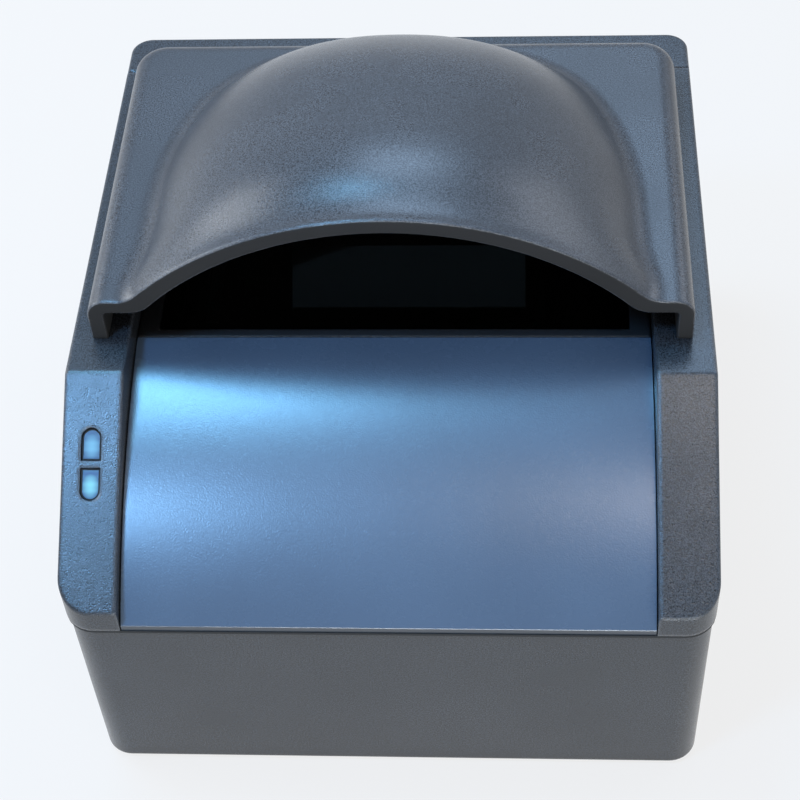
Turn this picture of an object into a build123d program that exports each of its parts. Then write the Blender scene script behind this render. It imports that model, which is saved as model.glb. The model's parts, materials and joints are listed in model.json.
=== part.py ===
from build123d import *
import os
from math import atan2, cos, hypot, radians, sin, sqrt, tan

os.makedirs("parts", exist_ok=True)

# Driving sizes of the case, in millimetres, with heights above the table
body_width = 178.0
body_depth = 200.0
ledge_height = 113.5
ledge_depth = 144.0
rail_front_height = 78.5
rail_nose_height = 7.9
rear_cover_depth = 16.5
corner_radius = 9.0
rear_corner_radius = 6.5
case_wall = 2.5
foot_lift = 2.0
edge_radius = 1.0
crease_radius = 2.0
overrun = 3.0
tiny_gap = 0.01

half_width = body_width / 2
seam_height = rail_front_height - rail_nose_height
front_y = -body_depth / 2
rear_y = body_depth / 2
crease_y = rear_y - ledge_depth
split_y = rear_y - rear_cover_depth
rail_slope = atan2(ledge_height - rail_front_height, crease_y - front_y)

# Joints between the shells of the case
seam_gap = 1.0
split_gap = 0.4
base_inset = 0.8
base_rim_radius = 0.5
tongue_thickness = 1.2
tongue_rise = 2.0
tongue_root = 4.0
tongue_clearance = 0.15
tongue_reach = 3.0
tongue_end_gap = 0.5

base_half_width = half_width - base_inset
base_front_y = front_y + base_inset
base_top = seam_height - seam_gap
floor_top = foot_lift + case_wall
shell_rear_y = split_y - split_gap

# Document bed: a curved rest plate and a level window behind it
rail_width = 16.4
channel_half_width = half_width - rail_width
channel_wall = 2.0
rim_radius = 0.8
channel_end_gap = 6.1
channel_rear_y = split_y - channel_end_gap
bed_gap = 0.3
bed_half_width = channel_half_width - bed_gap
window_drop = 7.0
window_height = ledge_height - window_drop
window_setback = 124.8
window_front_y = rear_y - window_setback
plate_front_lift = 1.8
plate_crease_angle = 8.0
plate_thickness = 1.8
plate_nose_radius = 0.8
plate_setback = 0.3
frame_thickness = 4.0
frame_crease_gap = 0.2
seat_thickness = 2.0
seat_width = 6.6
seat_step_gap = 0.3

plate_front_y = front_y + plate_setback
plate_run = window_front_y - plate_front_y
plate_fall = window_height - seam_height - plate_front_lift
chord_angle = atan2(plate_fall, plate_run)
plate_radius = hypot(plate_run, plate_fall) / (2 * sin(chord_angle - radians(plate_crease_angle)))
arc_y = window_front_y + plate_radius * sin(radians(plate_crease_angle))
arc_z = window_height - plate_radius * cos(radians(plate_crease_angle))
frame_bottom = window_height - frame_thickness
frame_front_y = window_front_y + frame_crease_gap
frame_rear_y = channel_rear_y - bed_gap
seat_step_y = window_front_y - plate_thickness - seat_step_gap

# Window glass and its gasket
frame_side_width = 6.0
frame_end_width = 3.25
glass_width = 2 * (bed_half_width - frame_side_width)
glass_depth = frame_rear_y - frame_front_y - 2 * frame_end_width
glass_thickness = 2.4
glass_side_gap = 0.3
glass_overlap = 2.3
gasket_thickness = 0.5
window_center_y = (frame_front_y + frame_rear_y) / 2
glass_drop = 0.1
gasket_bottom = window_height - glass_drop - glass_thickness - gasket_thickness
glass_bottom = gasket_bottom + gasket_thickness

# Screws that join the lower and the upper housing
screw_radius = 1.5
screw_head_radius = 2.8
screw_head_height = 2.2
screw_slack = 0.1
thread_slack = 0.05
recess_arm_share = 0.3
half_turn = 180
tower_radius = 4.5
tower_inset = 8.5
tower_x = half_width - tower_inset
tower_front_setback = 14.0
tower_front_y = front_y + tower_front_setback
tower_rear_setback = 30.0
tower_rear_y = rear_y - tower_rear_setback
tower_drop = 11.2
tower_top = seam_height - tower_drop
tower_cap = 6.0
tower_seat = tower_top - tower_cap
tower_bore_radius = 3.2
boss_radius = 4.0
housing_screw_length = 14.0
pilot_depth = 10.0
tower_spots = [(x, y) for x in (-tower_x, tower_x) for y in (tower_front_y, tower_rear_y)]

# Screws that hold the rear cover
rear_screw_inset = 11.0
rear_screw_x = half_width - rear_screw_inset
rear_screw_z = 30.0
rear_boss_radius = 4.5
rear_seat_depth = 3.0
rear_screw_length = 20.0
rear_pilot_depth = 6.5
rear_block_width = 10.0
rear_block_depth = 7.5
rear_block_height = 36.0

# Hood
hood_front_setback = 131.5
hood_front_y = rear_y - hood_front_setback
hood_rear_setback = 19.0
hood_rear_y = rear_y - hood_rear_setback
hood_inset = 6.0
hood_half_width = half_width - hood_inset
hood_flange_rise = 14.5
hood_corner_radius = 10.0
hood_shoulder_radius = 5.5
hood_wall = 4.4
hood_lip_radius = 0.5
dome_flange_width = 14.2
dome_half_width = hood_half_width - dome_flange_width
dome_rise = 33.0
dome_rear_gap = 8.7
dome_length = hood_rear_y - hood_front_y - dome_rear_gap
dome_plan_power = 3.3
dome_crest_power = 2.2
dome_fullness = 0.1
dome_sink = 3.0
dome_foot_radius = 8.0
dome_tail_share = 0.45
dome_tail_half_width = dome_half_width * dome_tail_share
dome_tail_drop = 0.8
dome_station_shares = (-0.045, 0.2, 0.4, 0.6, 0.78, 0.9, 0.97)
dome_section_shares = (-1, -0.8, -0.5, 0, 0.5, 0.8, 1)
flange_height = ledge_height + hood_flange_rise

# Tabs of the hood and their slots in the ledge
tab_thickness = 1.8
tab_length = 10.0
tab_depth = 5.0
tab_slot_gap = 0.3
tab_x = hood_half_width - hood_wall / 2
tab_front_setback = 16.5
tab_rear_setback = 21.0
tab_ys = (hood_front_y + tab_front_setback, hood_rear_y - tab_rear_setback)
tab_spots = [(x, y) for x in (-tab_x, tab_x) for y in tab_ys]

# Indicator windows in the left rail
indicator_inset = 8.1
indicator_x = indicator_inset - half_width
indicator_setback = 21.5
indicator_y = crease_y - indicator_setback
indicator_width = 5.6
indicator_length = 9.1
indicator_bar = 1.9
indicator_recess = 0.8
lens_gap = 0.15
lens_flange = 0.7
lens_flange_thickness = 1.0
light_pipe_radius = 1.8
light_pipe_end = 8.5
indicator_led_size = 3.0
indicator_led_gap = 0.3
indicator_led_height = 1.7
indicator_board_width = 9.0
indicator_board_length = 34.0
indicator_post_radius = 2.2
indicator_post_y = 14.0
board_thickness = 1.6
tiny_screw_radius = 1.0
tiny_head_radius = 1.9
tiny_head_height = 1.3
tiny_screw_length = 6.0
indicator_z = ledge_height - indicator_setback * tan(rail_slope)
indicator_plane = Plane(
    origin=(indicator_x, indicator_y, indicator_z),
    x_dir=(1, 0, 0),
    z_dir=(0, -sin(rail_slope), cos(rail_slope)),
)
indicator_board_top = light_pipe_end + indicator_led_gap + indicator_led_height

# Feet
foot_radius = 7.0
foot_pocket_gap = 0.2
foot_pocket_depth = 0.5
foot_edge = 0.8
foot_inset = 25.0
foot_x = half_width - foot_inset
foot_front_setback = 20.0
foot_front_y = front_y + foot_front_setback
foot_rear_setback = 34.0
foot_rear_y = rear_y - foot_rear_setback

# Vent slots in the floor and in the rear cover
vent_first_x = 14.0
vent_pitch = 5.0
vent_count = 6
vent_shift = 10.0
vent_length = 30.0
vent_width = 2.0
rear_vent_pitch = 6.0
rear_vent_half_count = 4
rear_vent_drop = 31.5
rear_vent_z = ledge_height - rear_vent_drop
rear_vent_length = 28.0
rear_vent_width = 2.4

# Optical path: window, folding mirror and camera
axis_height = 38.0
mirror_setback = 73.0
mirror_y = rear_y - mirror_setback
vent_y = mirror_y - vent_shift
mirror_thickness = 3.0
tray_width = 82.0
tray_length = 80.0
tray_border = 3.0
mirror_width = tray_width - 2 * tray_border
mirror_length = tray_length - 2 * tray_border
tray_thickness = 2.5
tray_lip = 1.5
leg_thickness = 3.0
leg_inset = 3.5
leg_x = tray_width / 2 - leg_inset
leg_rear_reach = 23.0
leg_rear_y = mirror_y + leg_rear_reach
holder_foot_thickness = 2.5
holder_foot_size = 10.0
holder_screw_reach = 3.5
holder_screw_x = tray_width / 2 + holder_screw_reach
holder_front_reach = 13.0
holder_rear_reach = 17.0
holder_screw_ys = (mirror_y - holder_front_reach, mirror_y + holder_rear_reach)
mirror_gap = 0.2
mirror_plane = Plane(origin=(0, mirror_y, axis_height), x_dir=(1, 0, 0), z_dir=(0, -1, 1))

# Light box around the optical path
box_inset = 2.6
box_half_width = channel_half_width - box_inset
box_front_gap = 3.8
box_front_y = window_front_y + box_front_gap
box_rear_reach = 1.6
box_rear_y = channel_rear_y + box_rear_reach
box_bottom = 24.0
box_wall = 2.0
box_top = frame_bottom - seat_thickness
view_width = 44.0
view_height = 36.0
lug_reach = 6.0
lug_x = box_half_width + lug_reach
lug_length = 10.0
lug_thickness = 3.0
lug_front_reach = 27.0
lug_front_y = mirror_y - lug_front_reach
lug_rear_reach = 25.0
lug_rear_y = mirror_y + lug_rear_reach
lug_post_radius = 4.0
lug_spots = [(x, y) for x in (-lug_x, lug_x) for y in (lug_front_y, lug_rear_y)]
lug_screw_length = 8.0

# Lamps on the sides of the light box
lamp_center_y = (box_front_y + box_rear_y) / 2
lamp_end_gap = 9.0
lamp_length = box_rear_y - box_front_y - 2 * box_wall - 2 * lamp_end_gap
lamp_height = 24.0
lamp_drop = 36.5
lamp_z = window_height - lamp_drop
lamp_led = 3.2
lamp_led_height = 1.4
lamp_led_pitch = 9.0
lamp_led_rows = 2
lamp_led_columns = 8
lamp_row_pitch = 10.0
diffuser_thickness = 2.0
diffuser_setback = 7.5
diffuser_x = box_half_width - box_wall - diffuser_setback
diffuser_margin = 2.0
shelf_thickness = 2.0
shelf_reach = 9.5
shelf_margin = 2.0
antenna_shelf_reach = 2.5
uv_width = 72.0
uv_height = 14.0
uv_drop = 3.0
uv_z = lamp_z - uv_drop
uv_led_count = 4
uv_led_pitch = 18.0
uv_led = 3.5
uv_led_height = 2.0

# Antenna ring under the window
antenna_ring_width = 6.3
antenna_edge_gap = 0.2

# Boards on the floor
standoff_height = 6.0
standoff_radius = 3.0
small_screw_radius = 1.25
small_head_radius = 2.3
small_head_height = 1.6
small_screw_length = 6.0
board_bottom = floor_top + standoff_height
board_top = board_bottom + board_thickness
main_board_inset = 27.0
main_board_width = 2 * (half_width - main_board_inset)
main_front_setback = 43.0
main_rear_setback = 4.5
main_board_front_y = rear_y - main_front_setback
main_board_rear_y = rear_y - main_rear_setback
main_standoff_inset = 4.0
main_standoff_pitch = 15.0
main_standoff_x = main_board_width / 2 - main_standoff_inset
main_standoff_front_y = main_board_front_y + main_standoff_inset
main_standoff_ys = (main_standoff_front_y, main_standoff_front_y + main_standoff_pitch)
side_board_inner_x = 26.0
side_board_inset = 25.0
side_board_width = half_width - side_board_inset - side_board_inner_x
side_board_length = 50.0
side_board_x = side_board_inner_x + side_board_width / 2
side_board_setback = 35.0
side_board_y = front_y + side_board_setback
side_standoff_inset = 4.0
shield_margin = 4.0
shield_size = side_board_width - 2 * shield_margin
shield_height = 5.0
shield_sheet = 0.4
coil_radius = 5.0
coil_height = 7.0
coil_shift = 8.0
chip_inset = 28.0
chip_x = main_board_width / 2 - chip_inset
chip_setback = 17.0
chip_y = main_board_front_y + chip_setback
chip_size = 20.0
chip_height = 1.5
sink_width = 36.0
sink_depth = 22.0
sink_base = 2.0
sink_height = 9.0
fin_count = 8
fin_pitch = 4.9
fin_thickness = 1.4
capacitor_radius = 3.5
capacitor_height = 9.5
capacitor_edge = 0.5
capacitor_x = -10.0
capacitor_setback = 16.0
capacitor_pitch = 8.5
capacitor_y = main_board_front_y + capacitor_setback
capacitor_spots = ((capacitor_x, capacitor_y), (capacitor_x, capacitor_y + capacitor_pitch))
connector_width = 14.0
connector_depth = 4.0
connector_height = 3.0
connector_setback = 3.5
connector_pitch = 26.0
connector_y = main_board_front_y + connector_setback
connector_spots = ((0, connector_y), (-connector_pitch, connector_y), (connector_pitch, connector_y))
buzzer_inset = 16.0
buzzer_x = buzzer_inset - main_board_width / 2
buzzer_setback = 15.0
buzzer_y = main_board_front_y + buzzer_setback
buzzer_radius = 6.0
buzzer_height = 7.0
buzzer_hole_radius = 1.2

# Sockets at the rear
socket_reveal = 0.8
socket_gap = 0.3
usb_x = -25.0
usb_width = 12.0
usb_height = 10.9
usb_depth = 16.4
usb_wall = 0.8
usb_tongue_width = 5.6
usb_tongue_height = 3.2
jack_x = 6.0
jack_width = 9.0
jack_height = 11.0
jack_depth = 14.0
jack_bore_radius = 3.1
jack_bore_depth = 9.0
jack_pin_radius = 1.0
socket_front_y = rear_y - socket_reveal

# Camera
bracket_half_width = 24.0
bracket_rise = 24.0
bracket_top = axis_height + bracket_rise
bracket_thickness = 1.5
bracket_setback = 30.0
bracket_y = front_y + bracket_setback
bracket_foot = 15.0
bracket_window = 24.0
bracket_post_x = 18.0
bracket_post_reach = 9.0
bracket_post_y = bracket_y + bracket_post_reach
camera_connector_drop = 14.0
camera_board_size = 40.0
camera_screw_spread = 32.0
sensor_size = 9.0
sensor_height = 1.0
holder_size = 20.0
holder_base_depth = 6.0
holder_cavity = 13.0
holder_cavity_depth = 4.0
holder_tube_radius = 8.0
holder_tube_length = 10.0
barrel_radius = 6.0
barrel_length = 18.0
barrel_rim_radius = 8.0
barrel_rim_length = 4.0
barrel_bore_radius = 3.4
element_radius = 4.2
element_thickness = 2.0
element_sag = 0.7
lock_ring_radius = 8.5
lock_ring_sides = 12

# Flat cable of the camera
cable_width = 12.0
cable_thickness = 0.4
cable_turn = 1.6


def bed_height(y, depth):
    """Height of the rest plate's surface, or of a curve lying depth below it."""
    return arc_z + sqrt((plate_radius - depth) ** 2 - (arc_y - y) ** 2)


def rail_height(y):
    """Height of the top of the rails and ledges at a depth."""
    return min(ledge_height, rail_front_height + (y - front_y) * tan(rail_slope))


def bed_region(plate_depth, window_depth, y_start, y_step, y_end):
    """Side view of the space above the document bed, up past the ledge."""
    middle_y = (y_start + y_step) / 2
    level = window_height - window_depth
    top = ledge_height + overrun
    start = (y_start, bed_height(y_start, plate_depth))
    middle = (middle_y, bed_height(middle_y, plate_depth))
    step = (y_step, bed_height(y_step, plate_depth))
    with BuildSketch() as region:
        with BuildLine():
            ThreePointArc(start, middle, step)
            Polyline(step, (y_step, level), (y_end, level), (y_end, top), (y_start, top), start)
        make_face()
    return region.sketch


def plan_outline(half_x, y_front, y_rear, front_radius, rear_radius):
    """Outline seen from above, with rounded front or rear corners."""
    with BuildSketch() as plan:
        with Locations((0, (y_front + y_rear) / 2)):
            Rectangle(2 * half_x, y_rear - y_front)
        if front_radius:
            fillet(plan.vertices().group_by(Axis.Y)[0], front_radius)
        if rear_radius:
            fillet(plan.vertices().group_by(Axis.Y)[-1], rear_radius)
    return plan.sketch


def half_pill(width, length, gap):
    """Half of a pill outline that starts gap away from the middle."""
    radius = width / 2
    with BuildSketch() as pill:
        with Locations((0, gap + (length - radius) / 2)):
            Rectangle(width, length - radius)
        with Locations((0, gap + length - radius)):
            Circle(radius)
    return pill.sketch


def screw(shank_radius, shank_length, head_radius, head_height):
    """Cylinder-head screw with a cross recess, its seat at the origin, pointing down."""
    arm = head_height * recess_arm_share
    with BuildPart() as body:
        with BuildSketch():
            Circle(head_radius)
        extrude(amount=head_height)
        with BuildSketch():
            Circle(shank_radius)
        extrude(amount=-shank_length)
        with BuildSketch(Plane.XY.offset(head_height)):
            Rectangle(head_radius, arm)
            Rectangle(arm, head_radius)
        extrude(amount=-head_height / 2, mode=Mode.SUBTRACT)
    return body.part


def slab(low, high):
    """Block between two opposite corners."""
    middle = tuple((a + b) / 2 for a, b in zip(low, high))
    sizes = tuple(b - a for a, b in zip(low, high))
    with BuildPart() as body:
        with Locations(middle):
            Box(*sizes)
    return body.part


def cover_form(inset, bottom):
    """Solid form of the upper housing, drawn inwards by inset and closed at a height."""
    drop = inset / cos(rail_slope)
    front = front_y + inset
    top = ledge_height - inset
    end_y = shell_rear_y + (overrun if inset else 0)
    shoulder = (crease_y + (drop - inset) / tan(rail_slope), top)
    nose = (front, rail_front_height - drop + inset * tan(rail_slope))
    plan = plan_outline(half_width - inset, front, end_y, corner_radius - inset, 0)
    with BuildPart() as form:
        with BuildSketch(Plane.YZ) as side:
            with BuildLine():
                Polyline((front, bottom), (end_y, bottom), (end_y, top), shoulder, nose, (front, bottom))
            make_face()
            if not inset:
                fillet(side.vertices().sort_by_distance((*shoulder, 0))[0], crease_radius)
        extrude(amount=half_width, both=True)
        with BuildSketch(Plane.XY.offset(bottom)):
            add(plan)
        extrude(amount=ledge_height, mode=Mode.INTERSECT)
    return form.part


def arch_points(width, rise, fullness, top):
    """Points of an arch that crosses the flange at width and runs on down to the dome's root."""
    root = top - dome_sink
    if rise > 0:
        radius = (width * width + rise * rise) / (2 * rise)
    else:
        radius = (width * width + (dome_sink + rise) ** 2) / (2 * (dome_sink + rise))
    centre_z = top + rise - radius
    base = sqrt(radius * radius - (root - centre_z) ** 2)
    points = []
    for share in dome_section_shares:
        x = share * base
        swell = 4 * fullness * share * share * (1 - share * share)
        points.append((x, centre_z + sqrt(radius * radius - x * x) + swell))
    return points


def hood_form(inset):
    """Solid form of the hood, drawn inwards by inset, a little longer at the front."""
    front = hood_front_y - overrun
    bottom = ledge_height - (overrun if inset else 0)
    rear = hood_rear_y - inset
    half = hood_half_width - inset
    top = flange_height - inset
    plan = plan_outline(half, front, rear, 0, hood_corner_radius - inset)
    with BuildPart() as form:
        with BuildSketch(Plane.XY.offset(bottom)):
            add(plan)
        extrude(amount=top - bottom)
        shoulders = form.edges().group_by(Axis.Z)[-1].sort_by(Axis.Y)[1:]
        fillet(shoulders, hood_shoulder_radius - inset)
        for share in dome_station_shares:
            reach = (1 - abs(share) ** dome_plan_power) ** (1 / dome_plan_power)
            width = (dome_half_width - inset) * reach
            rise = dome_rise * (1 - abs(share) ** dome_crest_power) ** (1 / dome_crest_power)
            fullness = dome_fullness * max(share, 0) * rise
            section_y = hood_front_y + (dome_length - inset) * share
            arch = arch_points(width, rise, fullness, top)
            with BuildSketch(Plane.XZ.offset(-section_y)):
                with BuildLine():
                    Spline(*arch)
                    Line(arch[-1], arch[0])
                make_face()
        tail_y = hood_front_y + dome_length - inset + dome_tail_drop
        arch = arch_points(dome_tail_half_width, -dome_tail_drop, 0, top)
        with BuildSketch(Plane.XZ.offset(-tail_y)):
            with BuildLine():
                Spline(*arch)
                Line(arch[-1], arch[0])
            make_face()
        dome = loft(mode=Mode.PRIVATE)
        add(dome)
        flange = form.faces().filter_by(Axis.Z).filter_by_position(Axis.Z, top - tiny_gap, top + tiny_gap)
        curved = flange.edges().filter_by(lambda e: e.geom_type not in (GeomType.LINE, GeomType.CIRCLE))
        fillet(curved, dome_foot_radius)
    return form.part


# Upper housing
inner_form = cover_form(case_wall, seam_height - overrun)
boss_mask = cover_form(edge_radius, tower_top)
bed_space = bed_region(plate_thickness, frame_thickness, front_y + case_wall, seat_step_y, channel_rear_y)
bed_block = bed_region(
    plate_thickness + seat_thickness,
    frame_thickness + seat_thickness,
    front_y + case_wall,
    seat_step_y - seat_thickness,
    channel_rear_y + channel_wall,
)
seat_half_width = channel_half_width - seat_width
indicator_pill = half_pill(indicator_width, indicator_length, indicator_bar / 2)
post_spots = [(0, -indicator_post_y), (0, indicator_post_y)]

with BuildPart() as outer_form:
    add(cover_form(0, seam_height))
    with BuildSketch(Plane.YZ):
        add(bed_space)
    extrude(amount=channel_half_width, both=True, mode=Mode.SUBTRACT)
    add(
        slab(
            (-channel_half_width, front_y - overrun, seam_height - overrun),
            (channel_half_width, front_y + case_wall, ledge_height),
        ),
        mode=Mode.SUBTRACT,
    )
    # Rounded rims of the ledges and rails
    upper = outer_form.edges().filter_by(lambda e: e.center().Z > rail_height(e.center().Y) - tiny_gap)
    along = upper.filter_by(lambda e: abs(e.center().X) > channel_half_width - tiny_gap)
    crosswise = along.filter_by(Axis.X).filter_by(lambda e: e.center().Y > front_y + tiny_gap)
    fillet([e for e in along if e not in crosswise], rim_radius)

with BuildPart() as bosses:
    with BuildSketch(Plane.XY.offset(tower_top)):
        with Locations(tower_spots):
            Circle(boss_radius)
    extrude(amount=ledge_height - tower_top)
    add(boss_mask, mode=Mode.INTERSECT)

with BuildPart() as channel:
    with BuildSketch(Plane.YZ):
        add(bed_block)
    extrude(amount=channel_half_width + channel_wall, both=True)
    add(outer_form.part, mode=Mode.INTERSECT)

with BuildPart() as top_cover:
    add(outer_form.part)
    add(inner_form, mode=Mode.SUBTRACT)
    add(channel.part)
    add(bosses.part)
    # Light opening under the window
    add(
        slab(
            (-seat_half_width, front_y + case_wall + seat_width, seam_height - overrun),
            (seat_half_width, channel_rear_y - seat_width, ledge_height),
        ),
        mode=Mode.SUBTRACT,
    )
    # Screw holes in the bosses
    with BuildSketch(Plane.XY.offset(tower_top)):
        with Locations(tower_spots):
            Circle(screw_radius + thread_slack)
    extrude(amount=pilot_depth, mode=Mode.SUBTRACT)
    # Slots for the tabs of the hood
    with BuildSketch(Plane.XY.offset(ledge_height)):
        with Locations(tab_spots):
            Rectangle(tab_thickness + 2 * tab_slot_gap, tab_length + 2 * tab_slot_gap)
    extrude(amount=-case_wall - edge_radius, mode=Mode.SUBTRACT)
    # Indicator openings and the posts of the indicator board
    with BuildSketch(indicator_plane):
        add(indicator_pill)
        add(indicator_pill, rotation=half_turn)
    extrude(amount=case_wall + edge_radius, both=True, mode=Mode.SUBTRACT)
    with BuildSketch(indicator_plane.offset(-indicator_board_top)):
        with Locations(post_spots):
            Circle(indicator_post_radius)
    extrude(amount=indicator_board_top - case_wall / 2)
    with BuildSketch(indicator_plane.offset(-indicator_board_top)):
        with Locations(post_spots):
            Circle(tiny_screw_radius + thread_slack)
    extrude(amount=tiny_screw_length, mode=Mode.SUBTRACT)
top_cover.part.label = "top_cover"
export_step(top_cover.part, "parts/top_cover.step")

# Lower housing
standoff_spots = [(x, y) for x in (-main_standoff_x, main_standoff_x) for y in main_standoff_ys]
side_reach_x = side_board_width / 2 - side_standoff_inset
side_reach_y = side_board_length / 2 - side_standoff_inset
side_board_spots = [(-side_reach_x, side_reach_y), (side_reach_x, -side_reach_y)]
for side in (-1, 1):
    standoff_spots += [(side * side_board_x + dx, side_board_y + dy) for dx, dy in side_board_spots]
    standoff_spots += [(side * holder_screw_x, y) for y in holder_screw_ys]
    standoff_spots.append((side * bracket_post_x, bracket_post_y))
base_plan = plan_outline(base_half_width, base_front_y, shell_rear_y, corner_radius - base_inset, 0)
cavity_plan = plan_outline(
    base_half_width - case_wall,
    base_front_y + case_wall,
    shell_rear_y + overrun,
    corner_radius - base_inset - case_wall,
    0,
)
tongue_x = half_width - case_wall - tongue_clearance - tongue_thickness / 2
tongue_front_y = tower_front_y + tower_radius / 2
tongue_rear_y = split_y - tongue_reach - tongue_end_gap
tongue_middle_y = (tongue_front_y + tongue_rear_y) / 2
rib_x = (tower_x + base_half_width) / 2
foot_spots = [(x, y) for x in (-foot_x, foot_x) for y in (foot_front_y, foot_rear_y)]
vent_xs = [vent_first_x + vent_pitch * n for n in range(vent_count)]
vent_spots = [(side * x, vent_y) for side in (-1, 1) for x in vent_xs]

with BuildPart() as base_housing:
    with BuildSketch(Plane.XY.offset(foot_lift)):
        add(base_plan)
    extrude(amount=base_top - foot_lift)
    fillet(base_housing.edges().group_by(Axis.Z)[0].sort_by(Axis.Y)[:-1], edge_radius)
    fillet(base_housing.edges().group_by(Axis.Z)[-1].sort_by(Axis.Y)[:-1], base_rim_radius)
    with BuildSketch(Plane.XY.offset(floor_top)):
        add(cavity_plan)
    extrude(amount=base_top, mode=Mode.SUBTRACT)
    # Tongues that centre the upper housing
    with BuildSketch(Plane.XY.offset(base_top - tongue_root)):
        with Locations((-tongue_x, tongue_middle_y), (tongue_x, tongue_middle_y)):
            Rectangle(tongue_thickness, tongue_rear_y - tongue_front_y)
    extrude(amount=tongue_root + seam_gap + tongue_rise)
    # Screw towers with ribs to the wall, and posts for the light box
    with BuildSketch(Plane.XY.offset(floor_top)):
        with Locations(tower_spots):
            Circle(tower_radius)
        for side in (-1, 1):
            with Locations((side * rib_x, tower_front_y), (side * rib_x, tower_rear_y)):
                Rectangle(base_half_width - tower_x, case_wall)
    extrude(amount=tower_top - floor_top)
    with BuildSketch(Plane.XY.offset(floor_top)):
        with Locations(lug_spots):
            Circle(lug_post_radius)
    extrude(amount=box_bottom - floor_top)
    with BuildSketch(Plane.XY.offset(floor_top)):
        with Locations(standoff_spots):
            Circle(standoff_radius)
    extrude(amount=standoff_height)
    # Blocks that take the screws of the rear cover
    with BuildSketch(Plane.XY.offset(floor_top)):
        for side in (-1, 1):
            with Locations((side * rear_screw_x, shell_rear_y - rear_block_depth / 2)):
                Rectangle(rear_block_width, rear_block_depth)
    extrude(amount=rear_block_height - floor_top)
    # Screw holes
    with BuildSketch():
        with Locations(tower_spots):
            Circle(tower_bore_radius)
    extrude(amount=tower_seat, mode=Mode.SUBTRACT)
    with BuildSketch(Plane.XY.offset(tower_seat)):
        with Locations(tower_spots):
            Circle(screw_radius + 2 * screw_slack)
    extrude(amount=tower_top - tower_seat, mode=Mode.SUBTRACT)
    with BuildSketch(Plane.XY.offset(box_bottom)):
        with Locations(lug_spots):
            Circle(screw_radius + thread_slack)
    extrude(amount=-lug_screw_length, mode=Mode.SUBTRACT)
    with BuildSketch(Plane.XY.offset(board_bottom)):
        with Locations(standoff_spots):
            Circle(small_screw_radius + thread_slack)
    extrude(amount=-small_screw_length, mode=Mode.SUBTRACT)
    with BuildSketch(Plane.XZ.offset(-shell_rear_y)):
        with Locations((-rear_screw_x, rear_screw_z), (rear_screw_x, rear_screw_z)):
            Circle(screw_radius + thread_slack)
    extrude(amount=rear_pilot_depth, mode=Mode.SUBTRACT)
    # Pockets for the feet and vent slots in the floor
    with BuildSketch(Plane.XY.offset(foot_lift)):
        with Locations(foot_spots):
            Circle(foot_radius + foot_pocket_gap)
    extrude(amount=foot_pocket_depth, mode=Mode.SUBTRACT)
    with BuildSketch(Plane.XY.offset(foot_lift)):
        with Locations(vent_spots):
            Rectangle(vent_width, vent_length)
    extrude(amount=case_wall, mode=Mode.SUBTRACT)
base_housing.part.label = "base_housing"
export_step(base_housing.part, "parts/base_housing.step")

# Rear cover with its tongues, screw bosses, socket openings and vent slots
rear_plan = plan_outline(half_width, split_y, rear_y, 0, rear_corner_radius)
rear_cavity_plan = plan_outline(
    half_width - case_wall,
    split_y - overrun,
    rear_y - case_wall,
    0,
    rear_corner_radius - case_wall,
)
tongue_low = case_wall + tongue_clearance
tongue_high = tongue_low + tongue_thickness
upper_tongue_z = seam_height + tongue_rise + tongue_end_gap
lower_tongue_z = base_top - tongue_root - tongue_end_gap
bottom_tongue_x = rear_screw_x - rear_block_width
rear_vent_range = range(-rear_vent_half_count, rear_vent_half_count + 1)
rear_vent_spots = [(rear_vent_pitch * n, rear_vent_z) for n in rear_vent_range]


def tongue_rails(root_overlap):
    """Cross-section of the tongues of the rear cover, with or without their roots."""
    outer = half_width - tongue_low + root_overlap
    inner = half_width - tongue_high
    lower_outer = base_half_width - tongue_low + (base_inset + root_overlap if root_overlap else 0)
    lower_inner = base_half_width - tongue_high
    top = ledge_height - tongue_low + root_overlap
    under = ledge_height - tongue_high
    low = foot_lift + tongue_low - root_overlap
    with BuildSketch() as rails:
        for side in (-1, 1):
            with Locations((side * (outer + inner) / 2, (upper_tongue_z + top) / 2)):
                Rectangle(outer - inner, top - upper_tongue_z)
            with Locations((side * (lower_outer + lower_inner) / 2, (low + lower_tongue_z) / 2)):
                Rectangle(lower_outer - lower_inner, lower_tongue_z - low)
        with Locations((0, (top + under) / 2)):
            Rectangle(2 * outer, top - under)
        with Locations((0, (low + foot_lift + tongue_high) / 2)):
            Rectangle(2 * bottom_tongue_x, foot_lift + tongue_high - low)
    return rails.sketch


tongue_section = tongue_rails(0)
root_section = tongue_rails(2 * tongue_clearance)

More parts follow.
